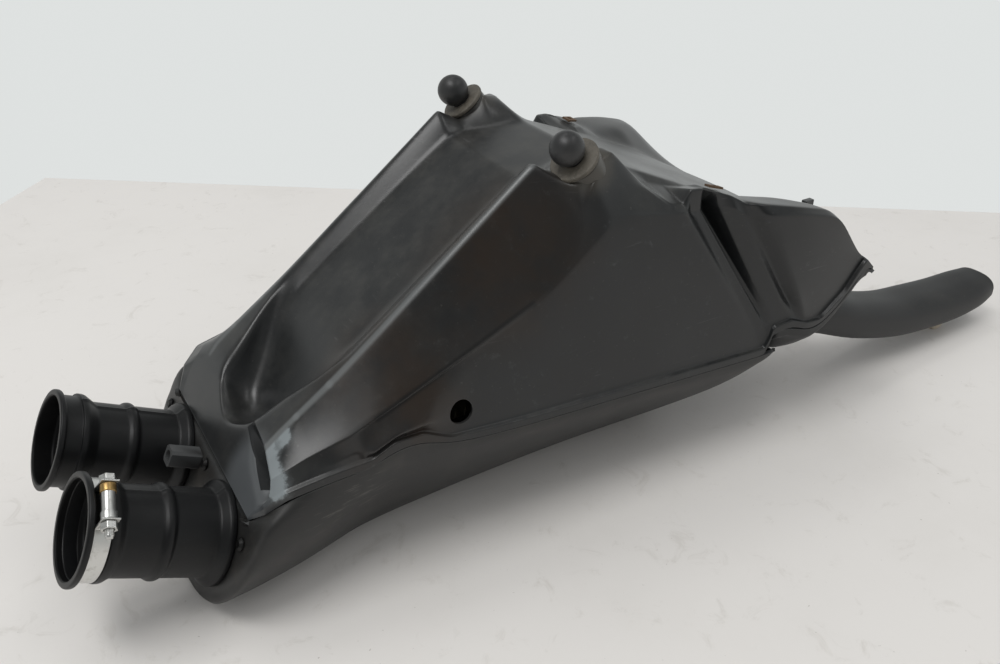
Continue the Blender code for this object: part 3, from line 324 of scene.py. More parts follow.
def plastic(name, colour, low, high, dust):
    """Moulded satin plastic: fine grain, uneven gloss, dust on what faces up, pale worn edges and scratches."""
    s = Shader(name, colour, low)
    patches = s.noise(14.0, 6.0, 0.6)
    fine = s.noise(2600.0, 2.0, 0.5)
    s.tint(s.ramp(patches, 0.35, 0.75), [c * 1.35 for c in colour])
    dusty = s.maths("MULTIPLY", s.facing((0.0, 0.0, 1.0), 0.2, 1.0), s.ramp(s.noise(45.0, 8.0, 0.7), 0.3, 0.8))
    s.tint(dusty, (0.110, 0.105, 0.092), dust)
    specks = s.ramp(s.noise(420.0, 3.0, 0.6), 0.66, 0.74)
    s.tint(specks, (0.10, 0.095, 0.085), 0.25)
    scratches = s.ramp(s.noise(1.0, 3.0, 0.5, (40.0, 60.0, 900.0), 0.6), 0.67, 0.72)
    s.tint(s.maths("MULTIPLY", scratches, s.ramp(s.noise(22.0, 3.0), 0.5, 0.65)), (0.09, 0.09, 0.09), 0.35)
    s.tint(s.edges(0.54, 0.62), (0.085, 0.088, 0.088), 0.55)
    s.rough(s.maths("ADD", s.maths("MULTIPLY", patches, 0.75), s.maths("MULTIPLY", dusty, 0.4)), low, high)
    s.bump(fine, 0.10, 0.0002)
    s.bump(s.noise(30.0, 3.0, 0.5), 0.06, 0.0012)
    return s


def lid_plastic():
    s = plastic("dressed_lid", (0.0082, 0.0089, 0.0094), 0.24, 0.42, 0.26)
    corner = (-0.1452, -0.0625, 0.1010)
    ragged = s.maths("MULTIPLY", s.maths("SUBTRACT", s.noise(90.0, 8.0, 0.75), 0.5), 1.4)
    split = s.tree.nodes.new("ShaderNodeSeparateXYZ")
    s.link(s.coords, split.inputs["Vector"])
    outside = s.ramp(split.outputs["Y"], -0.0600, -0.0625)
    for end, reach in (((-0.1350, -0.0640, 0.1085), 0.013), ((-0.1510, -0.0850, 0.0945), 0.017)):
        worn = s.maths("ADD", s.along(corner, end, 0.0, reach), ragged)
        s.tint(s.maths("MULTIPLY", s.ramp(worn, 0.10, 0.55), outside), (0.060, 0.066, 0.067), 0.6)
        s.tint(s.maths("MULTIPLY", s.ramp(worn, 0.42, 0.68), outside), (0.200, 0.224, 0.230), 0.82)
    # Brownish tint in patches on the near ridge face.
    for place, inner, outer in (((-0.075, -0.078, 0.128), 0.02, 0.070), ((0.005, -0.074, 0.190), 0.02, 0.075)):
        brown_tint = s.maths("MULTIPLY", s.near(place, inner, outer), s.ramp(s.noise(22.0, 5.0, 0.6), 0.25, 0.65))
        s.tint(brown_tint, (0.019, 0.011, 0.006), 0.80)
    # Pale patch on the front plate beside the near boot: painted light, lifting the plate where the boot shades it.
    s.tint(s.near((-0.1590, -0.0580, 0.0815), 0.018, 0.036), (0.125, 0.134, 0.140), 0.46)
    # Dark line along the near crease between the ridge face and the side panel: painted shade in the crease.
    for start, end in (((-0.086, -0.0885, 0.1196), (-0.045, -0.0885, 0.1362)),
                       ((-0.045, -0.0885, 0.1362), (0.018, -0.0885, 0.1640))):
        s.tint(s.along(start, end, 0.0008, 0.0032), (0.003, 0.003, 0.003), 0.85)
    # Pale line along each ridge crest: a painted highlight with some wear in it, stronger on the near ridge.
    for side, highlight_and_rub in ((-1.0, 0.75), (1.0, 0.40)):
        crest = [(-0.1440, side * 0.0590, 0.1035), (-0.1245, side * 0.0600, 0.1178), (-0.1030, side * 0.0606, 0.1330),
                 (RIDGE_TOP_X, side * 0.0606, RIDGE_TOP_Z)]
        for start, end in zip(crest, crest[1:]):
            s.tint(s.along(start, end, 0.0008, 0.0036), (0.115, 0.121, 0.120), highlight_and_rub)
    for side in SIDES.values():
        s.tint(s.near((0.064, side * 0.0700, 0.2370), 0.010, 0.024), (0.070, 0.060, 0.045), 0.55)
    return s.mat


def tray_plastic():
    s = plastic("dressed_tray", (0.0085, 0.0085, 0.0083), 0.38, 0.56, 0.26)
    scuffs = s.maths("MULTIPLY", s.ramp(s.noise(1.0, 4.0, 0.6, (60.0, 60.0, 500.0)), 0.56, 0.66),
                     s.near((-0.105, -0.090, 0.070), 0.008, 0.045))
    s.tint(scuffs, (0.075, 0.070, 0.064), 0.7)
    grime = s.ramp(s.noise(32.0, 6.0, 0.65), 0.45, 0.75)
    s.tint(grime, (0.035, 0.031, 0.026), 0.5)
    return s.mat


def duct_plastic():
    s = plastic("dressed_duct", (0.0078, 0.0082, 0.0086), 0.46, 0.62, 0.16)
    return s.mat


def rubber(name, colour, low, high, bloom, specular=0.5):
    """Moulded rubber: soft sheen with a faint pale bloom and dust in patches."""
    s = Shader(name, colour, low, 0.0, specular)
    patches = s.noise(38.0, 6.0, 0.6)
    s.tint(s.ramp(patches, 0.42, 0.78), bloom, 0.55)
    s.tint(s.ramp(s.noise(520.0, 3.0, 0.6), 0.62, 0.72), [2.0 * b for b in bloom], 0.30)
    s.tint(s.edges(0.53, 0.60), [2.2 * b for b in bloom], 0.40)
    s.rough(patches, low, high)
    s.bump(s.noise(1500.0, 2.0), 0.12, 0.0002)
    s.bump(s.noise(90.0, 3.0), 0.08, 0.0006)
    return s.mat


def metal(name, colour, low, high, dirt, amount, metallic=1.0):
    """Plated steel: brushed roughness, with dull spots and dirt."""
    s = Shader(name, colour, low, metallic)
    brushed = s.noise(1.0, 4.0, 0.6, (300.0, 300.0, 2600.0))
    spots = s.noise(260.0, 6.0, 0.7)
    s.tint(s.ramp(spots, 0.50, 0.72), dirt, amount)
    s.rough(s.maths("ADD", s.maths("MULTIPLY", brushed, 0.5), s.maths("MULTIPLY", spots, 0.5)), low, high)
    s.bump(brushed, 0.10, 0.0001)
    s.bump(spots, 0.15, 0.0002)
    return s.mat


def dusty_disc():
    """Pale collar, greyed with oil and dust."""
    s = Shader("dressed_collar", (0.085, 0.075, 0.058), 0.50)
    s.tint(s.ramp(s.noise(190.0, 6.0, 0.7), 0.40, 0.70), (0.040, 0.034, 0.026), 0.8)
    s.tint(s.ramp(s.noise(700.0, 3.0, 0.6), 0.58, 0.70), (0.16, 0.145, 0.12), 0.4)
    s.rough(s.noise(120.0, 4.0), 0.45, 0.8)
    s.bump(s.noise(900.0, 3.0), 0.2, 0.0002)
    return s.mat


def foam():
    s = Shader("dressed_foam", (0.46, 0.40, 0.32), 0.92)
    s.tint(s.ramp(s.noise(260.0, 5.0, 0.7), 0.42, 0.68), (0.30, 0.25, 0.19), 0.7)
    s.tint(s.ramp(s.noise(1800.0, 2.0), 0.60, 0.70), (0.22, 0.18, 0.14), 0.6)
    s.bump(s.noise(1500.0, 4.0, 0.7), 0.5, 0.0004)
    return s.mat


def paper():
    """Filter paper: fibres, with grey dust in patches."""
    s = Shader("dressed_paper", (0.200, 0.165, 0.105), 0.90)
    s.tint(s.ramp(s.noise(1.0, 5.0, 0.6, (900.0, 240.0, 900.0)), 0.45, 0.70), (0.150, 0.118, 0.070), 0.6)
    s.tint(s.ramp(s.noise(60.0, 6.0, 0.7), 0.48, 0.72), (0.080, 0.072, 0.060), 0.6)
    s.bump(s.noise(1600.0, 4.0, 0.6), 0.3, 0.0002)
    return s.mat


def floor_cloth():
    """Pale table top with faint stains and specks."""
    s = Shader("dressed_table", (0.655, 0.630, 0.598), 0.55)
    s.tint(s.ramp(s.noise(5.0, 6.0, 0.6), 0.45, 0.75), (0.600, 0.575, 0.540), 0.6)
    s.tint(s.ramp(s.noise(38.0, 7.0, 0.7, None, 0.8), 0.56, 0.72), (0.480, 0.450, 0.410), 0.45)
    s.tint(s.ramp(s.noise(330.0, 2.0, 0.5), 0.74, 0.78), (0.200, 0.170, 0.140), 0.45)
    s.rough(s.noise(20.0, 4.0), 0.45, 0.7)
    return s.mat


LID = lid_plastic()
TRAY = tray_plastic()
DUCT = duct_plastic()
BOOT = rubber("dressed_boot", (0.0034, 0.0036, 0.0040), 0.34, 0.52, (0.008, 0.008, 0.008), 0.32)
# Darker, duller rubber for the inside of the boots: painted shade in the bore.
BORE_SHADE = rubber("dressed_bore_shade", (0.0014, 0.0014, 0.0016), 0.40, 0.60, (0.005, 0.005, 0.005), 0.17)
BALL = rubber("dressed_ball", (0.0165, 0.0168, 0.0172), 0.36, 0.50, (0.030, 0.029, 0.027))
# Dull rubber with little sheen, so that the pocket behind the front plate reads dark: painted shade in the recess.
POCKET_SHADE = rubber("dressed_pocket_shade", (0.0110, 0.0120, 0.0125), 0.45, 0.60, (0.020, 0.021, 0.021), 0.15)
SEAL = rubber("dressed_seal", (0.0070, 0.0070, 0.0072), 0.60, 0.80, (0.012, 0.012, 0.012))
INNER = plastic("dressed_inner", (0.0140, 0.0140, 0.0142), 0.42, 0.60, 0.15).mat
FRAME = plastic("dressed_frame", (0.0180, 0.0180, 0.0190), 0.60, 0.78, 0.20).mat
ZINC = metal("dressed_zinc", (0.66, 0.66, 0.64), 0.22, 0.50, (0.30, 0.28, 0.25), 0.45)
SCREW = metal("dressed_screw", (0.030, 0.030, 0.030), 0.35, 0.60, (0.020, 0.016, 0.014), 0.5)
BRASS = metal("dressed_brass", (0.46, 0.30, 0.12), 0.28, 0.50, (0.20, 0.12, 0.06), 0.5)
RUST = metal("dressed_rust", (0.115, 0.070, 0.040), 0.65, 0.90, (0.045, 0.025, 0.014), 0.8, 0.2)
COLLAR = dusty_disc()
FOAM = foam()
PAPER = paper()
TABLE = floor_cloth()


# Mesh helpers
def add_object(name, verts, faces, mat, matrix=None, fix_normals=True, sharp=35.0):
    mesh = bpy.data.meshes.new(name)
    mesh.from_pydata([tuple(v) for v in verts], [], faces)
    if fix_normals:
        bm = bmesh.new()
        bm.from_mesh(mesh)
        bmesh.ops.recalc_face_normals(bm, faces=bm.faces)
        bm.to_mesh(mesh)
        bm.free()
    mesh.shade_smooth()
    mesh.set_sharp_from_angle(angle=math.radians(sharp))
    obj = bpy.data.objects.new(name, mesh)
    bpy.context.collection.objects.link(obj)
    mesh.materials.append(mat)
    if matrix:
        mesh.transform(matrix)
    return obj


def bake(obj, sharp=35.0):
    """Apply the modifiers."""
    bpy.context.view_layer.update()
    graph = bpy.context.evaluated_depsgraph_get()
    mesh = bpy.data.meshes.new_from_object(obj.evaluated_get(graph))
    obj.modifiers.clear()
    obj.data = mesh
    mesh.shade_smooth()
    mesh.set_sharp_from_angle(angle=math.radians(sharp))
    return obj


def cut(obj, tools, operation="DIFFERENCE", sharp=35.0):
    for tool in tools:
        modifier = obj.modifiers.new(tool.name, "BOOLEAN")
        modifier.operation = operation
        modifier.solver = "EXACT"
        modifier.object = tool
    bake(obj, sharp)
    for tool in tools:
        bpy.data.objects.remove(tool, do_unlink=True)
    return obj


def soften(obj, width, segments=3, angle=30.0):
    """Rounded edges."""
    modifier = obj.modifiers.new("round", "BEVEL")
    modifier.width = width
    modifier.segments = segments
    modifier.limit_method = "ANGLE"
    modifier.angle_limit = math.radians(angle)
    modifier.harden_normals = True
    return obj


def axis_frame(origin, axis, hint=(0.0, 1.0, 0.0)):
    z = Vector(axis).normalized()
    x = Vector(hint)
    x = (x - z * x.dot(z)).normalized()
    y = z.cross(x)
    matrix = Matrix((x, y, z)).transposed().to_4x4()
    matrix.translation = Vector(origin)
    return matrix


def lathe(name, profile, matrix, mat, steps=96, warp=None, sharp=35.0):
    """Turn a closed (radius, height) outline; warp(radius, angle, height) may change the radius."""
    verts = []
    rings = []
    for radius, height in profile:
        if radius < 1e-9:
            rings.append([len(verts)])
            verts.append((0.0, 0.0, height))
            continue
        ring = []
        for step in range(steps):
            angle = 2.0 * math.pi * step / steps
            r = warp(radius, angle, height) if warp else radius
            ring.append(len(verts))
            verts.append((r * math.cos(angle), r * math.sin(angle), height))
        rings.append(ring)
    faces = []
    for ring, following in zip(rings, rings[1:] + rings[:1]):
        if len(ring) == 1 and len(following) == 1:
            continue
        for step in range(steps):
            after = (step + 1) % steps
            corners = [ring[step % len(ring)], ring[after % len(ring)],
                       following[after % len(following)], following[step % len(following)]]
            faces.append(list(dict.fromkeys(corners)))
    return add_object(name, verts, faces, mat, matrix, sharp=sharp)


def rounded(profile, radius, steps=4):
    """Closed (radius, height) outline with its corners rounded."""
    points = []
    count = len(profile)
    for i, corner in enumerate(profile):
        here = Vector(corner)
        before = Vector(profile[i - 1]) - here
        after = Vector(profile[(i + 1) % count]) - here
        if here.x < 1e-9 or before.length < 1e-9 or after.length < 1e-9:
            points.append(tuple(here))
            continue
        reach = min(radius, 0.45 * before.length, 0.45 * after.length)
        start = here + before.normalized() * reach
        end = here + after.normalized() * reach
        for k in range(steps + 1):
            t = k / steps
            points.append(tuple((1 - t) ** 2 * start + 2 * t * (1 - t) * here + t * t * end))
    return points


def prism(name, outline, bottom, top, matrix, mat, sharp=35.0):
    count = len(outline)
    verts = [(x, y, bottom) for x, y in outline] + [(x, y, top) for x, y in outline]
    faces = [list(range(count)), list(range(count, 2 * count))]
    for i in range(count):
        j = (i + 1) % count
        faces.append([i, j, count + j, count + i])
    return add_object(name, verts, faces, mat, matrix, sharp=sharp)


def polygon(sides, radius):
    return [(radius * math.cos(2.0 * math.pi * i / sides), radius * math.sin(2.0 * math.pi * i / sides))
            for i in range(sides)]


def arc(centre, radius, start, end, steps):
    return [(centre[0] + radius * math.cos(start + (end - start) * i / steps),
             centre[1] + radius * math.sin(start + (end - start) * i / steps)) for i in range(steps + 1)]


def shell(name, rows, mat, outward_up, sharp=14.0, fold=0.46, tools=(), far=None, share=None, wall=WALL,
          patch=None):
    """Moulded wall from half sections: mirrored, creased by how sharply it folds, smoothed and thickened."""
    full = []
    for near_row, far_row in zip(rows, far or rows):
        full.append([(x, -y, z) for x, y, z in reversed(near_row[1:])] + [tuple(point) for point in far_row])
    across = len(full[0])
    verts = [point for row in full for point in row]
    faces = []
    for i in range(len(full) - 1):
        for j in range(across - 1):
            quad = [i * across + j, (i + 1) * across + j, (i + 1) * across + j + 1, i * across + j + 1]
            faces.append(quad if outward_up else quad[::-1])
    obj = add_object(name, verts, faces, mat, fix_normals=False)
    middle = across // 2
    if patch:
        obj.data.materials.append(patch[0])
        for row, column in patch[1]:
            obj.data.polygons[row * (across - 1) + middle - 1 - column].material_index = 1
    bm = bmesh.new()
    bm.from_mesh(obj.data)
    crease = bm.edges.layers.float.new("crease_edge")
    for edge in bm.edges:
        ends = sorted((vert.index // across, abs(vert.index % across - middle)) for vert in edge.verts)
        if len(edge.link_faces) == 1:
            edge[crease] = 1.0
        else:
            angle = math.degrees(edge.calc_face_angle(0.0))
            edge[crease] = fold * min(max(2.0 * angle / sharp - 1.0, 0.0), 1.0) * (share(*ends) if share else 1.0)
    bm.to_mesh(obj.data)
    bm.free()
    smooth = obj.modifiers.new("smooth", "SUBSURF")
    smooth.levels = 3
    smooth.render_levels = 3
    thicken = obj.modifiers.new("wall", "SOLIDIFY")
    thicken.thickness = wall
    thicken.offset = -1.0
    bake(obj, 62.0)
    return cut(obj, tools, sharp=62.0) if tools else obj


def lerp(a, b, t):
    return a + (b - a) * t


def front_point(y, v, s=0.0):
    return Vector((FRONT_X, y, FRONT_Z)) + UP * v + OUT * s


def front_frame(y, v):
    return axis_frame(front_point(y, v), OUT)


def drill(name, matrix, radius, low, high, steps=48):
    return lathe(name, [(0.0, high), (radius, high), (radius, low), (0.0, low)], matrix, SEAL, steps)


# Lid
def rim_point(x):
    for (x0, y0, z0), (x1, y1, z1) in zip(RIM_PATH, RIM_PATH[1:]):
        if x <= x1 or x1 == RIM_PATH[-1][0]:
            t = (x - x0) / (x1 - x0)
            return lerp(y0, y1, t), lerp(z0, z1, t)


def ridge_z(x):
    return RIDGE_TOP_Z - (RIDGE_TOP_X - x) * math.tan(RIDGE_SLOPE)


def deck_z(x):
    return lerp(DECK_FRONT_Z, DECK_REAR_Z, (x - DECK_FRONT_X) / (DECK_REAR_X - DECK_FRONT_X))


def lid_rim(x, bead):
    y, z = rim_point(x)
    step = RIM_BEAD_STEP * bead / RIM_BEAD_HEIGHT
    return [(x, y - step, z + 0.62 * bead), (x, y, z + 0.5 * bead), (x, y, z - LID_LAP)]


def lid_section(floor, inner, outer, crease, rim_x, bulge=0.0, bead=RIM_BEAD_HEIGHT, centre=None, ledge=0.0, brow=None):
    rim = lid_rim(rim_x, bead)
    middle = centre or (floor[0], 0.0, floor[2])
    top = Vector(crease)
    low = Vector(rim[0])
    step = top.lerp(low, 0.07) + Vector((0.0, ledge, 0.0))
    side = top.lerp(low, 0.78) + Vector((0.0, bulge, 0.0))
    brow = brow or tuple(Vector(outer).lerp(top, 0.5))
    return [middle, floor, inner, outer, brow, crease, tuple(step), tuple(side)] + rim


def below(outer, crease):
    """Point of the outer face close under the crest of the ridge, which keeps the crest's rounding small."""
    return tuple(Vector(outer).lerp(Vector(crease), CREST_SHARE))


def slope_section(x, depth, crease_x, crease_z, rim_x, bulge=0.0, ledge=0.0, inner_y=RIDGE_INNER_Y):
    floor = (x, TROUGH_HALF_WIDTH, ridge_z(x) - depth)
    inner = (x, inner_y, ridge_z(x))
    outer = (x, RIDGE_OUTER_Y, ridge_z(x) - GAP)
    crease = (crease_x, CREASE_Y, crease_z)
    return lid_section(floor, inner, outer, crease, rim_x, bulge, ledge=ledge, brow=below(outer, crease))


def plate_point(y, v):
    """Point of the lid's front plate, which leans back a little from the plane of the boots."""
    return front_point(y, v, -PLATE_LEAN * (v - FRONT_SEAM_V))


def lid_fold(first, second):
    """Sharpness share of a lid edge from its ends, as (row, column from the middle): pit and pocket lip are rounded."""
    narrow = min(first[1], second[1])
    wide = max(first[1], second[1])
    if WING_ROW <= first[0] and second[0] < WING_ROW + 5 and 2 <= narrow and wide <= 6:
        return WING_SHARPNESS
    if first[0] == second[0]:
        pit = 3 <= first[0] <= 8 and wide <= 2
        return 0.0 if pit or first[0] == 2 and narrow >= 3 or first[0] in SLOT_ROWS and narrow >= 5 else 1.0
    if narrow == wide and (wide == 3 and 4 <= first[0] < 14 or wide == 2 and 8 <= first[0] < 14):
        return RIDGE_SHARPNESS
    return 0.0 if 2 <= first[0] and second[0] <= 8 and wide <= 1 else 1.0


def front_rows(pocket):
    """Flat plate over the seam with the notched lip of the pit, and the widening front of the ridge behind it."""
    seam = FRONT_SEAM_V
    if pocket:
        lip = [plate_point(0.0540, 0.0540), plate_point(0.0722, 0.0480)]
        dip = [(-0.1400, 0.0570, 0.0890), (-0.1455, 0.0795, 0.0850)]
        shoulder = [(-0.1453, 0.0590, 0.1022), (-0.1500, 0.0810, 0.0970)]
        flank = [(-0.1415, 0.0828, 0.1010), (-0.1280, 0.0835, 0.1055)]
    else:
        lip = [plate_point(0.0550, 0.0560), plate_point(0.0740, 0.0485)]
        dip = [plate_point(0.0558, 0.0625), plate_point(0.0738, 0.0550)]
        shoulder = [front_point(0.0562, 0.0670, -0.0043), front_point(0.0740, 0.0600, -0.0032)]
        flank = [front_point(0.0780, 0.0665, -0.0069), (-0.1280, 0.0800, 0.1035)]
    return [
        lid_section(front_point(0.014, seam), front_point(0.030, seam), front_point(0.056, seam),
                    front_point(0.068, seam), -0.1648, bead=0.0008),
        lid_section(plate_point(0.0135, 0.0440), plate_point(0.0285, 0.0470), plate_point(0.0548, 0.0470),
                    plate_point(0.0725, 0.0405), -0.1609, bead=0.0040, centre=plate_point(0.0, 0.0420)),
        lid_section(plate_point(0.0138, 0.0560), plate_point(0.0298, 0.0655), lip[0], lip[1],
                    -0.1590, bead=0.0040, centre=plate_point(0.0, 0.0505)),
        lid_section((-0.1445, 0.0140, 0.0915), (-0.1440, 0.0306, 0.1020), dip[0], dip[1], -0.1570,
                    centre=(-0.1470, 0.0, 0.0868)),
        lid_section((-0.1385, 0.0175, 0.0855), (-0.1422, 0.0320, 0.1045), shoulder[0], shoulder[1], -0.1528,
                    centre=(-0.1415, 0.0, 0.0830)),
        lid_section((-0.1295, 0.0235, 0.0810), (-0.1370, 0.0345, 0.1088), (-0.1370, 0.0610, 0.1095), flank[0], -0.1450,
                    centre=(-0.1310, 0.0, 0.0790)),
        lid_section((-0.1200, 0.0300, 0.0900), (-0.1240, 0.0385, 0.1188), (-0.1250, 0.0606, 0.1182), flank[1], -0.1200,
                    centre=(-0.1210, 0.0, 0.0880), brow=below((-0.1250, 0.0606, 0.1182), flank[1])),
        lid_section((-0.1040, 0.0400, 0.1105), (-0.1035, 0.0505, 0.1335), (-0.1035, RIDGE_OUTER_Y, 0.1335),
                    (-0.1020, 0.0875, 0.1135), -0.1010, -0.0028, centre=(-0.1030, 0.0, 0.1085),
                    brow=below((-0.1035, RIDGE_OUTER_Y, 0.1335), (-0.1020, 0.0875, 0.1135))),
    ]


def pad_point(along, outward):
    """Point of the flat pad round a stud, measured from its centre up the slope and outwards."""
    axis = stud_axis(1.0)
    up_slope = Vector((0.0, 1.0, 0.0)).cross(axis).normalized()
    out = axis.cross(up_slope)
    centre = Vector((STUD_X, STUD_Y, STUD_Z)) + axis * (BOSS_TOP - PAD_SINK)
    return centre + up_slope * along + out * outward


def slope_rows():
    wide = TROUGH_HALF_WIDTH
    return [
        slope_section(-0.0885, 0.0080, -0.0885, 0.1195, -0.0940, 0.0044, -0.0010, 0.0535),
        slope_section(-0.0700, 0.0090, -0.0700, 0.1260, -0.0800, 0.0044, -0.0014, 0.0545),
        slope_section(-0.0450, 0.0100, -0.0450, 0.1365, -0.0620, 0.0045, -0.0014),
        slope_section(-0.0100, 0.0115, -0.0120, 0.1500, -0.0450, 0.0, -0.0012),
        slope_section(0.0150, 0.0130, 0.0180, 0.1645, 0.0000, 0.0, 0.0),
        slope_section(RIDGE_TOP_X, 0.0150, 0.0380, 0.1810, 0.0300, 0.0, 0.0012),
        lid_section((0.0480, wide, 0.2272), pad_point(-0.0120, -0.0120), pad_point(-0.0120, 0.0125),
                    (0.0540, CREASE_Y, 0.1960), 0.0550, ledge=0.0014),
        lid_section((0.0660, 0.0400, 0.2290), pad_point(0.0120, -0.0110), (0.0724, 0.0763, 0.2385),
                    (0.0695, 0.0890, 0.2103), 0.0800, ledge=0.0014, brow=(0.0640, 0.0818, 0.2300)),
        lid_section((DECK_FRONT_X, 0.0330, DECK_FRONT_Z), (0.0834, 0.0640, 0.2413), (0.0834, 0.0715, 0.2415),
                    (0.0900, 0.0908, 0.2070), 0.1050, ledge=0.0006, brow=(0.0835, 0.0812, 0.2235)),
    ]


def deck_point(x, y):
    return (x, y, deck_z(x))


def rear_rows():
    deep = SLOT_DEPTH
    wing = 0.1172
    rows = [
        lid_section(deck_point(0.1040, 0.0500), (0.1040, 0.0660, 0.2200), (0.1035, 0.0765, 0.2192),
                    (0.1040, 0.0912, 0.2045), 0.1500, brow=(0.1030, 0.0808, 0.2178)),
        lid_section(deck_point(0.1190, 0.0560), (0.1180, 0.0640, 0.2125), (0.1194, 0.0870, 0.2064),
                    (0.1185, 0.0920, 0.2018), 0.1800),
        lid_section(deck_point(0.1320, 0.0590), (0.1300, 0.0655, 0.2085), (0.1285, 0.0880, 0.2042),
                    (0.1296, 0.0935, 0.2000), 0.2000),
        lid_section(deck_point(0.1360, 0.0600), (0.1345, 0.0660, 0.2070), (0.1345, 0.0890, 0.2130),
                    (0.1345, 0.0895, 0.1975), 0.2015),
        lid_section(deck_point(0.1440, 0.0605), (0.1440, 0.0665, 0.2050), (0.1420, 0.0900, 0.2125),
                    (0.1450, 0.0888, 0.1965), 0.2044),
        lid_section(deck_point(0.1460, 0.0606), (0.1460, 0.0665, 0.2048), (0.1450, 0.0905, 0.2118),
                    (0.1475, 0.0890 - deep, 0.1955), 0.2050),
        lid_section(deck_point(0.1530, 0.0612), (0.1520, 0.0670, 0.2040), (0.1515, 0.0910, 0.2088),
                    (0.1530, 0.0900 - deep, 0.1950), 0.2056),
        lid_section(deck_point(0.1560, 0.0613), (0.1560, 0.0685, 0.2050), (0.1545, 0.0918, 0.2080),
                    (0.1560, 0.0925, 0.1985), 0.2076),
        lid_section(deck_point(0.1640, 0.0622), (0.1640, 0.0710, 0.2030), (0.1640, 0.0950, 0.2045),
                    (0.1665, 0.0985, 0.1960), 0.2200),
        lid_section(deck_point(0.1740, 0.0632), (0.1740, 0.0740, 0.1975), (0.1735, 0.0985, 0.1990),
                    (0.1770, 0.1005, 0.1880), 0.2280, -0.0030),
        lid_section(deck_point(0.1800, 0.0640), (0.1790, 0.0760, 0.1950), (0.1795, 0.1045, 0.1995),
                    (0.1840, 0.1115, 0.1925), 0.2344, 0.0020),
        lid_section(deck_point(0.2150, 0.0660), (0.2140, 0.0850, 0.1905), (0.2130, 0.1120, 0.1925),
                    (0.2140, 0.1165, 0.1885), 0.2480),
        lid_section((0.2450, 0.0660, 0.1590), (0.2380, 0.1005, 0.1850), (0.2420, 0.1130, 0.1845),
                    (0.2465, wing, 0.1795), 0.2689, centre=(DECK_REAR_X, 0.0, DECK_REAR_Z)),
    ]
    foot = [(FLANGE_FOOT_X, y, FLANGE_FOOT_Z) for y in (0.0660, 0.0980, 0.1090, 0.1140)]
    edge = [(REAR_RIM_X, y, REAR_RIM_Z) for y in (0.0660, 0.0980, 0.1080, 0.1130)]
    rows.append(lid_section(*foot, 0.2855))
    rows.append(lid_section(*edge, RIM_PATH[-1][0], bead=0.0010))
    return rows


def lid_rows(pocket):
    return front_rows(pocket) + slope_rows() + rear_rows()


def stud_axis(side):
    return Vector((-math.sin(RIDGE_SLOPE), side * STUD_OUTWARD, math.cos(RIDGE_SLOPE))).normalized()


def stud_frame(side):
    return axis_frame((STUD_X, side * STUD_Y, STUD_Z), stud_axis(side))


BOSS_TOP = -(STUD_SEAT_DROP + STUD_SEAT_THICK + GAP)


def make_lid():
    hole = axis_frame((SIDE_HOLE_X, -CREASE_Y, SIDE_HOLE_Z), (0.0, -1.0, 0.0), (1.0, 0.0, 0.0))
    tools = [drill("side_hole", hole, SIDE_HOLE_RADIUS, -5 * WALL, 8 * WALL)]
    # The pocket's faces get that dull rubber as painted shade in the recess.
    pocket = (POCKET_SHADE, [(row, column) for row in (2, 3) for column in (2, 3, 4)])
    lid = shell("lid_shell", lid_rows(True), LID, True, 9.0, 0.52, tools, lid_rows(False), lid_fold, LID_WALL, pocket)
    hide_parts("upper_housing")
    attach(lid, "cover")
    for name, side in SIDES.items():
        low = BOSS_TOP - STUD_BOSS_LENGTH
        profile = rounded([(0.0, BOSS_TOP), (STUD_BOSS_RADIUS, BOSS_TOP), (STUD_BOSS_RADIUS, low), (0.0, low)], 0.0014)
        boss = lathe("stud_boss_" + name, profile, stud_frame(side), LID, 64)
        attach(boss, "cover")
    corners = [(a * TAB_LENGTH / 2.0, b * TAB_WIDTH / 2.0) for a, b in ((1, 1), (-1, 1), (-1, -1), (1, -1))]
    tab = prism("wing_tab", corners, -TAB_HEIGHT, 0.0, Matrix.Translation(TAB_PLACE), LID)
    soften(tab, 0.0006)
    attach(tab, "cover")


# Tray
def floor_half(x):
    share = (x - FLOOR_WAIST_X) / (front_point(0.0, FRONT_BOTTOM_V).x - FLOOR_WAIST_X)
    return FLOOR_HALF_MIN + (FLOOR_HALF_FRONT - FLOOR_HALF_MIN) * share * share


def tray_rim(x):
    y, z = rim_point(min(x, SEAM_STEP_X))
    top = z - SEAM_GAP + TRAY_LAP
    return [(x, y - 0.0008, top - RIM_BEAD_HEIGHT), (x, y, top)]


def tray_section(x, floor_z=0.0, bulge=WALL_BULGE):
    half = floor_half(x)
    low, top = tray_rim(x)
    bilge = (x, half + BILGE_WIDTH, floor_z + BILGE_HEIGHT)
    middle = (x, lerp(bilge[1], low[1], 0.5) + bulge, lerp(bilge[2], low[2], 0.5))
    upper = (x, lerp(bilge[1], low[1], 0.82) + 0.6 * bulge, lerp(bilge[2], low[2], 0.82))
    return [(x, 0.0, floor_z), (x, half, floor_z), bilge, middle, upper, low, top]


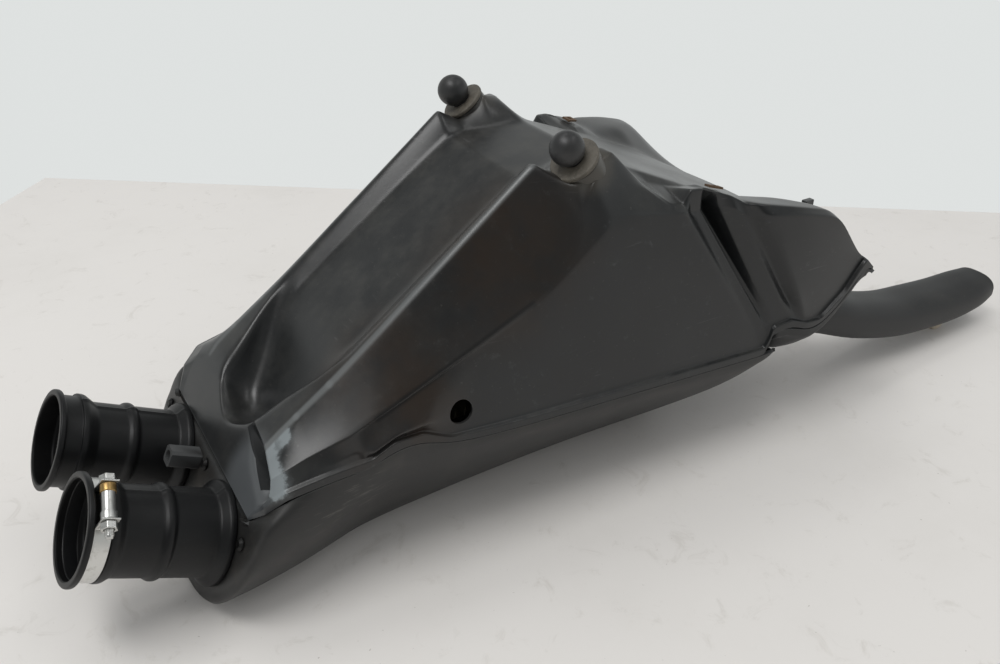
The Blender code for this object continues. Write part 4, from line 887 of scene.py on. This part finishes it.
def tray_rows():
    seam_v = FRONT_SEAM_V - SEAM_GAP
    bottom = FRONT_BOTTOM_V
    wide = FRONT_HALF_WIDTH
    rows = [[front_point(y, seam_v) for y in (0.0, 0.028, 0.046, 0.058, 0.066, 0.071, RIM_PATH[0][1])],
            [front_point(y, v) for y, v in ((0.0, bottom), (0.046, bottom), (0.078, -0.034), (wide, -0.006),
                                            (wide + 0.0045, 0.0160), (wide + 0.0025, 0.0375))] + [tray_rim(-0.1570)[1]],
            [(-0.1700, 0.0, 0.0), (-0.1700, 0.0510, 0.0), (-0.1650, 0.0790, 0.0170), (-0.1580, 0.0945, 0.0450),
             (-0.1530, 0.0985, 0.0660), (-0.1475, 0.0965, 0.0810), tray_rim(-0.1450)[1]],
            [(-0.1300, 0.0, 0.0), (-0.1300, 0.0450, 0.0), (-0.1260, 0.0660, 0.0120), (-0.1220, 0.0870, 0.0450),
             (-0.1210, 0.0935, 0.0700)] + tray_rim(-0.1200)]
    rows += [tray_section(x) for x, _, _ in RIM_PATH if -0.1 < x < 0.01]
    rows += [tray_section(x) for x in (0.055, 0.105)]
    last = tray_section(0.150, bulge=2.0 * WALL_BULGE)
    shift = FLOOR_REAR_X - 0.150
    rows.append([(x + shift * max(0.0, 1.0 - z / 0.07), y, z) for x, y, z in last])
    rows.append(tray_section(REAR_SLOPE_X, REAR_SLOPE_Z, 3.2 * WALL_BULGE))
    _, rear_y, rear_z = tray_rim(TRAY_END_X)[1]
    shares = (0.0, 0.30, 0.58, 0.80, 0.92, 0.97, 1.0)
    rows.append([(TRAY_END_X, rear_y * share, rear_z - RIM_BEAD_HEIGHT) for share in shares[:5]]
                + tray_rim(TRAY_END_X - WALL))
    rows.append([(TRAY_END_X, rear_y * share, rear_z) for share in shares])
    return rows


def make_tray():
    tools = [drill("boot_hole_" + name, front_frame(side * BOOT_HALF_PITCH, 0.0), BOOT_RADIUS + GAP, -0.009, 0.009)
             for name, side in SIDES.items()]
    tray = shell("tray_shell", tray_rows(), TRAY, False, 110.0, 0.46, tools)
    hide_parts("lower_housing")
    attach(tray, "base")


# Duct and snorkel
def duct_rim(x):
    y, z = rim_point(x)
    top = z - SEAM_GAP
    return [(x, y - 0.0008, top - RIM_BEAD_HEIGHT), (x, y, top)]


def duct_row(x, z, outer_lift, rim_x):
    flat = [(x, y, z) for y in (0.0, 0.040, 0.075)]
    return flat + [(x, 0.102, z + outer_lift)] + duct_rim(rim_x)


def snorkel_ring(place, along, size, margin, sides):
    across = Vector((0.0, 1.0, 0.0))
    up = along.cross(across).normalized()
    ring = []
    for step in range(sides):
        angle = 2.0 * math.pi * step / sides
        c = math.cos(angle)
        s = math.sin(angle)
        y = math.copysign(abs(c) ** (2.0 / SNORKEL_SQUARENESS), c) * (SNORKEL_WIDTH * size / 2.0 - margin)
        z = math.copysign(abs(s) ** (2.0 / SNORKEL_SQUARENESS), s) * (SNORKEL_HEIGHT * size / 2.0 - margin)
        ring.append(place + across * y - up * z)
    return ring


def smooth_path(points, count):
    """Points on a smooth curve through the given ones."""
    result = []
    for i in range(len(points) - 1):
        p = [Vector(points[min(max(i + k, 0), len(points) - 1)]) for k in (-1, 0, 1, 2)]
        for step in range(count):
            t = step / count
            result.append(0.5 * ((2 * p[1]) + (p[2] - p[0]) * t + (2 * p[0] - 5 * p[1] + 4 * p[2] - p[3]) * t * t
                                 + (3 * p[1] - p[0] - 3 * p[2] + p[3]) * t * t * t))
    result.append(Vector(points[-1]))
    return result


def make_snorkel(sides=64):
    """Open tube with a rounded mouth, as one wall: outside to the tip, round the lip and back inside."""
    path = smooth_path(SNORKEL_PATH, 8)
    rings = []
    for margin, order in ((0.0, path), (SNORKEL_WALL, path[::-1])):
        for point in order:
            i = path.index(point)
            along = (path[min(i + 1, len(path) - 1)] - path[max(i - 1, 0)]).to_3d().normalized()
            rings.append(snorkel_ring(point.to_3d(), along, point[3], margin, sides))
    verts = [point for ring in rings for point in ring]
    faces = []
    count = len(rings)
    for i in range(count):
        for k in range(sides):
            n = (k + 1) % sides
            j = (i + 1) % count
            faces.append([i * sides + k, i * sides + n, j * sides + n, j * sides + k])
    return soften(add_object("snorkel_tube", verts, faces, DUCT, sharp=50.0), 0.0009)


def make_duct():
    floor = DISH_FLOOR_Z
    front = DUCT_FRONT_X
    front_rim = duct_rim(front)[1]
    ledge = tray_rim(TRAY_END_X)[1][2] + SEAM_GAP
    rear = REAR_RIM_Z - REAR_SEAM_GAP
    rows = [[(front, y, front_rim[2]) for y in (0.0, 0.040, 0.075, 0.098, 0.107)] + [front_rim],
            duct_row(front, ledge, 0.001, 0.2100),
            duct_row(DUCT_LEDGE_X, ledge, 0.002, 0.2200),
            duct_row(DUCT_LEDGE_X + 0.0020, floor + 0.002, 0.008, 0.2344),
            duct_row(0.2380, floor, 0.006, 0.2480),
            duct_row(0.2620, floor, 0.006, 0.2689),
            duct_row(0.2850, floor + 0.017, 0.006, 0.2855),
            duct_row(REAR_RIM_X - 0.002, rear - FLANGE_DEPTH, 0.002, 0.2893),
            [(REAR_RIM_X, y, rear) for y in (0.0, 0.040, 0.080, 0.105)] + [
                (REAR_RIM_X, 0.1125, rear), (RIM_PATH[-1][0], RIM_PATH[-1][1], RIM_PATH[-1][2] - REAR_SEAM_GAP)]]
    dish = shell("duct_dish", rows, DUCT, False, 30.0)
    tube = make_snorkel()
    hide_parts("intake_duct")
    for piece in (dish, tube):
        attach(piece, "cover")


# Boots
LIP_BACK = BOOT_LENGTH - LIP_THICK
SEAT_BACK = LIP_BACK - CLAMP_SEAT_WIDTH


def parting(radius, angle, height):
    """Low moulding rib along the top and bottom of the boot's outside."""
    inside = radius < BOOT_RADIUS - 0.5 * BOOT_WALL or height > SEAT_BACK or height < BOOT_FLANGE_THICK
    if inside:
        return radius
    off = min(abs(math.remainder(angle - turn, 2.0 * math.pi)) for turn in (0.5 * math.pi, 1.5 * math.pi))
    return radius + 0.0009 * math.exp(-(off / 0.035) ** 2)


def make_boot(name, side):
    bore = BOOT_RADIUS - BOOT_WALL
    rib_low = RING_RIB_PLACE - RING_RIB_WIDTH / 2.0
    rib_high = RING_RIB_PLACE + RING_RIB_WIDTH / 2.0
    slope = RING_RIB_RADIUS - BOOT_RADIUS
    seat, bead = (CLAMP_SEAT_RADIUS, BEAD_RADIUS) if side < 0 else (FREE_SEAT_RADIUS, FREE_BEAD_RADIUS)
    bead_back = SEAT_BACK - BEAD_WIDTH
    bead_slope = bead - BOOT_RADIUS
    end = -WALL - GAP - 0.0045
    profile = rounded([
        (LIP_MOUTH_RADIUS, BOOT_LENGTH), (LIP_RADIUS, BOOT_LENGTH), (LIP_RADIUS, LIP_BACK),
        (seat, LIP_BACK), (seat, SEAT_BACK), (bead, SEAT_BACK),
        (bead, bead_back), (BOOT_RADIUS, bead_back - 1.6 * bead_slope), (BOOT_RADIUS, rib_high + 1.2 * slope),
        (RING_RIB_RADIUS, rib_high), (RING_RIB_RADIUS, rib_low), (BOOT_RADIUS, rib_low - 1.2 * slope),
        (BOOT_RADIUS, BOOT_FLANGE_THICK + 0.004), (BOOT_FLANGE_RADIUS, BOOT_FLANGE_THICK),
        (BOOT_FLANGE_RADIUS, GAP), (BOOT_RADIUS, GAP), (BOOT_RADIUS, end), (bore, end),
        (bore, BOOT_LENGTH - LIP_MOUTH_DEPTH - 0.002), (LIP_MOUTH_RADIUS, BOOT_LENGTH - LIP_MOUTH_DEPTH),
    ], 0.0013, 5)
    matrix = axis_frame(front_point(side * BOOT_HALF_PITCH, 0.0), OUT)
    boot = lathe("boot_moulding_" + name, profile, matrix, BOOT, 128, parting, 60.0)
    # Faces that look into the bore get the darker rubber: painted shade inside the tube.
    boot.data.materials.append(BORE_SHADE)
    inverse = matrix.inverted()
    for face in boot.data.polygons:
        place = inverse @ face.center
        normal = inverse.to_3x3() @ face.normal
        if place.x * normal.x + place.y * normal.y < -0.3 * place.xy.length:
            face.material_index = 1
    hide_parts("boot_" + name)
    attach(boot, "base")


# Hose clamp
def clamp_frame():
    radial = Vector((0.0, -1.0, 0.0)) * math.cos(CLAMP_ANGLE) + UP * math.sin(CLAMP_ANGLE)
    middle = (LIP_BACK + SEAT_BACK) / 2.0
    return axis_frame(front_point(-BOOT_HALF_PITCH, 0.0, middle), OUT, radial)


BAND_INNER = CLAMP_SEAT_RADIUS + GAP
BAND_OUTER = BAND_INNER + BAND_THICK


def clamp_screw_frame():
    clamp = clamp_frame()
    place = clamp @ Vector((BAND_OUTER + CLAMP_SCREW_LIFT, 0.0, 0.0))
    up = Vector(clamp.col[1][:3])
    up = up if up.z > 0.0 else -up
    return axis_frame(place, up, OUT)


def make_clamp():
    gap_angle = math.asin(EAR_HALF_SPAN / BAND_INNER)
    outer_angle = math.asin((EAR_HALF_SPAN + BAND_THICK) / BAND_OUTER)
    tip = BAND_OUTER + EAR_HEIGHT
    outline = arc((0.0, 0.0), BAND_INNER, gap_angle, 2.0 * math.pi - gap_angle, 120)
    outline += [(tip, -EAR_HALF_SPAN), (tip, -EAR_HALF_SPAN - BAND_THICK)]
    outline += arc((0.0, 0.0), BAND_OUTER, 2.0 * math.pi - outer_angle, outer_angle, 120)
    outline += [(tip, EAR_HALF_SPAN + BAND_THICK), (tip, EAR_HALF_SPAN)]
    band = prism("clamp_strap", outline, -BAND_WIDTH / 2.0, BAND_WIDTH / 2.0, clamp_frame(), ZINC)
    screw_frame = clamp_screw_frame()
    reach = EAR_HALF_SPAN + 3 * BAND_THICK
    cut(band, [drill("ear_hole", screw_frame, CLAMP_SCREW_RADIUS + GAP, -reach, reach)])
    soften(band, 0.0003, 2)
    ear_outside = EAR_HALF_SPAN + BAND_THICK + GAP
    ear_inside = EAR_HALF_SPAN - GAP
    bore = CLAMP_SCREW_RADIUS + GAP
    waist = 0.86 * CLAMP_SLEEVE_RADIUS
    collar = 0.55 * ear_inside
    sleeve = lathe("clamp_spacer", rounded([(bore, ear_inside), (CLAMP_SLEEVE_RADIUS, ear_inside),
                                            (CLAMP_SLEEVE_RADIUS, collar), (waist, collar), (waist, -collar),
                                            (CLAMP_SLEEVE_RADIUS, -collar), (CLAMP_SLEEVE_RADIUS, -ear_inside),
                                            (bore, -ear_inside)], 0.0004), screw_frame, ZINC, 48)
    sleeve.data.materials.append(BRASS)
    level = screw_frame.inverted()
    for face in sleeve.data.polygons:
        if (level @ face.center).z > 0.98 * collar:
            face.material_index = 1
    nut = prism("clamp_hex_nut", polygon(6, CLAMP_NUT_RADIUS), -ear_outside - CLAMP_NUT_HEIGHT, -ear_outside,
                screw_frame, ZINC)
    cut(nut, [drill("nut_hole", screw_frame, bore, -2 * reach, 2 * reach)])
    soften(nut, 0.0004, 3)
    head = prism("clamp_hex_screw", polygon(6, CLAMP_HEAD_RADIUS), ear_outside, ear_outside + CLAMP_HEAD_HEIGHT,
                 screw_frame, ZINC)
    tip_z = -ear_outside - CLAMP_NUT_HEIGHT - CLAMP_TIP_LENGTH
    pitch = 0.0008
    thread = []
    z = ear_outside + CLAMP_HEAD_HEIGHT / 2.0
    thread += [(0.0, z), (0.94 * CLAMP_SCREW_RADIUS, z), (0.94 * CLAMP_SCREW_RADIUS, ear_outside - 0.001)]
    z = ear_outside - 0.001
    while z - pitch > tip_z:
        thread += [(CLAMP_SCREW_RADIUS, z - 0.25 * pitch), (0.86 * CLAMP_SCREW_RADIUS, z - 0.75 * pitch)]
        z -= pitch
    thread += [(0.7 * CLAMP_SCREW_RADIUS, tip_z), (0.0, tip_z)]
    shank = lathe("clamp_thread", thread, screw_frame, ZINC, 32, sharp=60.0)
    cut(head, [shank], "UNION")
    soften(head, 0.0003, 2, 40.0)
    for piece, node, body, slot in ((band, "clamp_band", "base", "zinc_steel"), (sleeve, "clamp_sleeve", "base", "zinc_steel"),
                                    (nut, "clamp_nut", "base", "brass"), (head, "clamp_screw", "clamp_screw", "zinc_steel")):
        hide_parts(node)
        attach(piece, body)


# Studs
def make_stud(name, side):
    matrix = stud_frame(side)
    seat_bottom = -STUD_SEAT_DROP - STUD_SEAT_THICK
    neck_angle = math.pi - math.asin(STUD_NECK_RADIUS / BALL_RADIUS)
    ball = [(BALL_RADIUS * math.sin(neck_angle * i / 28), BALL_RADIUS * math.cos(neck_angle * i / 28)) for i in range(29)]
    end = BOSS_TOP - STUD_BOSS_LENGTH - 0.0073
    profile = ball + [(STUD_NECK_RADIUS, seat_bottom + GAP), (STUD_SHANK_RADIUS, seat_bottom + GAP),
                      (STUD_SHANK_RADIUS, end), (0.0, end)]
    stud = lathe("ball_rubber_" + name, profile, matrix, BALL, 64)
    hole = STUD_NECK_RADIUS + GAP
    seat = rounded([(hole, -STUD_SEAT_DROP), (STUD_SEAT_RADIUS, -STUD_SEAT_DROP - 0.0004),
                    (STUD_SEAT_RADIUS, seat_bottom), (hole, seat_bottom)], 0.0011, 5)
    disc = lathe("stud_collar_" + name, seat, matrix, COLLAR, 96)
    for piece, node, slot in ((stud, "ball_stud_", "ball_rubber"), (disc, "stud_seat_", "stud_collar")):
        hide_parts(node + name)
        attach(piece, "cover")


# Foam pad under the snorkel
def make_foot(rings=24, sides=40):
    verts = []
    for i in range(1, rings):
        lift = math.cos(math.pi * i / rings)
        girth = (1.0 - abs(lift) ** FOOT_SQUARENESS) ** (1.0 / FOOT_SQUARENESS)
        for k in range(sides):
            angle = 2.0 * math.pi * k / sides
            flat = (abs(math.cos(angle)) ** FOOT_SQUARENESS + abs(math.sin(angle)) ** FOOT_SQUARENESS) ** (-1.0 / FOOT_SQUARENESS)
            verts.append((FOOT_X + 0.5 * FOOT_LENGTH * girth * flat * math.cos(angle),
                          FOOT_Y + 0.5 * FOOT_WIDTH * girth * flat * math.sin(angle),
                          0.5 * FOOT_HEIGHT * (1.0 + max(lift, -FOOT_FLAT) / FOOT_FLAT if lift < 0.0 else 1.0 + lift)))
    faces = [list(range(sides)), list(range((rings - 2) * sides, (rings - 1) * sides))]
    for i in range(rings - 2):
        for k in range(sides):
            n = (k + 1) % sides
            faces.append([i * sides + k, i * sides + n, (i + 1) * sides + n, (i + 1) * sides + k])
    foot = add_object("foam_foot", verts, faces, FOAM, sharp=70.0)
    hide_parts("snorkel_foot")
    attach(foot, "cover")


# Small fittings that keep their solids
def dress_nodes():
    materials = {"stack_plate": INNER, "bellmouth_left": INNER, "bellmouth_right": INNER, "breather_spigot": INNER,
                 "front_screw_left": SCREW, "front_screw_mid": SCREW, "front_screw_right": SCREW,
                 "stud_nut_left": ZINC, "stud_nut_right": ZINC, "clip_nut_left": RUST, "clip_nut_right": RUST,
                 "filter_element": PAPER, "filter_frame": FRAME, "seam_seal": SEAL, "drain_plug": SEAL}
    widths = {"filter_frame": 0.0015, "stack_plate": 0.0006, "stud_nut_left": 0.0005,
              "stud_nut_right": 0.0005, "clip_nut_left": 0.0003, "clip_nut_right": 0.0003}
    for node, mat in materials.items():
        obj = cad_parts[node]
        for slot in obj.material_slots:
            slot.material = mat
        if node in widths:
            soften(obj, widths[node])


# Stage, light and camera
def make_stage():
    corner = Vector((*TABLE_CORNER, 0.0))
    back = Vector((*TABLE_BACK, 0.0)).normalized()
    left = Vector((*TABLE_LEFT, 0.0)).normalized()
    verts = [corner, corner + back * 4.0, corner + back * 4.0 + left * 5.0, corner + left * 5.0]
    floor = add_object("table", verts, [[0, 1, 2, 3]], TABLE, fix_normals=False)
    if floor.data.polygons[0].normal.z < 0.0:
        floor.data.flip_normals()


def area_light(name, place, target, size, power, colour=(1.0, 1.0, 1.0)):
    light = bpy.data.lights.new(name, "AREA")
    light.shape = "RECTANGLE"
    light.size = size[0]
    light.size_y = size[1]
    light.energy = power
    light.color = colour
    obj = bpy.data.objects.new(name, light)
    obj.location = place
    obj.rotation_euler = (Vector(target) - Vector(place)).to_track_quat("-Z", "Y").to_euler()
    bpy.context.collection.objects.link(obj)


def make_lights():
    world = bpy.data.worlds.new("studio")
    bpy.context.scene.world = world
    world.use_nodes = True
    tree = world.node_tree
    background = tree.nodes["Background"]
    background.inputs["Color"].default_value = (0.96, 0.98, 1.0, 1.0)
    background.inputs["Strength"].default_value = 0.74
    backdrop = tree.nodes.new("ShaderNodeBackground")
    backdrop.inputs["Color"].default_value = (0.735, 0.757, 0.750, 1.0)
    direction = tree.nodes.new("ShaderNodeTexCoord")
    split = tree.nodes.new("ShaderNodeSeparateXYZ")
    tree.links.new(direction.outputs["Generated"], split.inputs["Vector"])
    path = tree.nodes.new("ShaderNodeLightPath")

    def maths(operation, a, b):
        node = tree.nodes.new("ShaderNodeMath")
        node.operation = operation
        tree.links.new(a, node.inputs[0])
        tree.links.new(b, node.inputs[1])
        return node.outputs["Value"]

    def fade(socket, start, end, low, high):
        node = tree.nodes.new("ShaderNodeMapRange")
        node.interpolation_type = "SMOOTHSTEP"
        for name, value in (("From Min", start), ("From Max", end), ("To Min", low), ("To Max", high)):
            node.inputs[name].default_value = value
        tree.links.new(socket, node.inputs["Value"])
        return node.outputs["Result"]

    # One backdrop for what the camera sees and what the surfaces mirror: darker above and on the camera's side
    towards = tree.nodes.new("ShaderNodeVectorMath")
    towards.operation = "DOT_PRODUCT"
    towards.inputs[1].default_value = DARK_SIDE
    tree.links.new(direction.outputs["Generated"], towards.inputs[0])
    shade = maths("MULTIPLY", fade(split.outputs["Z"], 0.05, 0.75, 1.0, 0.35),
                  fade(towards.outputs["Value"], 0.5, 0.95, 1.0, 0.3))
    shade = maths("MULTIPLY", shade, fade(split.outputs["X"], -0.8, 0.1, 0.70, 1.0))
    tree.links.new(shade, backdrop.inputs["Strength"])
    seen = maths("MAXIMUM", path.outputs["Is Camera Ray"], path.outputs["Is Transmission Ray"])
    mix = tree.nodes.new("ShaderNodeMixShader")
    tree.links.new(maths("MAXIMUM", seen, path.outputs["Is Glossy Ray"]), mix.inputs["Fac"])
    tree.links.new(background.outputs["Background"], mix.inputs[1])
    tree.links.new(backdrop.outputs["Background"], mix.inputs[2])
    tree.links.new(mix.outputs["Shader"], tree.nodes["World Output"].inputs["Surface"])
    area_light("lamp_front", (-0.93, -0.26, 2.34), (0.0, 0.0, 0.1), (1.30, 0.75), 24.0)
    area_light("lamp_back", (-0.15, 0.90, 2.40), (0.0, 0.0, 0.1), (2.00, 0.40), 6.0)
    area_light("lamp_right", (1.06, -0.68, 2.15), (0.0, -0.1, 0.1), (1.60, 0.30), 5.0)


def make_camera():
    data = bpy.data.cameras.new("camera")
    data.lens = CAMERA_LENS
    data.sensor_width = 36.0
    data.clip_start = 0.01
    obj = bpy.data.objects.new("camera", data)
    obj.location = CAMERA_PLACE
    obj.rotation_euler = Vector(CAMERA_LOOK).to_track_quat("-Z", "Y").to_euler()
    bpy.context.collection.objects.link(obj)
    bpy.context.scene.camera = obj
    bpy.context.scene.view_settings.view_transform = "Standard"


make_camera()
make_stage()
make_lights()
make_lid()
make_tray()
make_duct()
for side_name, side_sign in SIDES.items():
    make_boot(side_name, side_sign)
    make_stud(side_name, side_sign)
make_clamp()
make_foot()
dress_nodes()
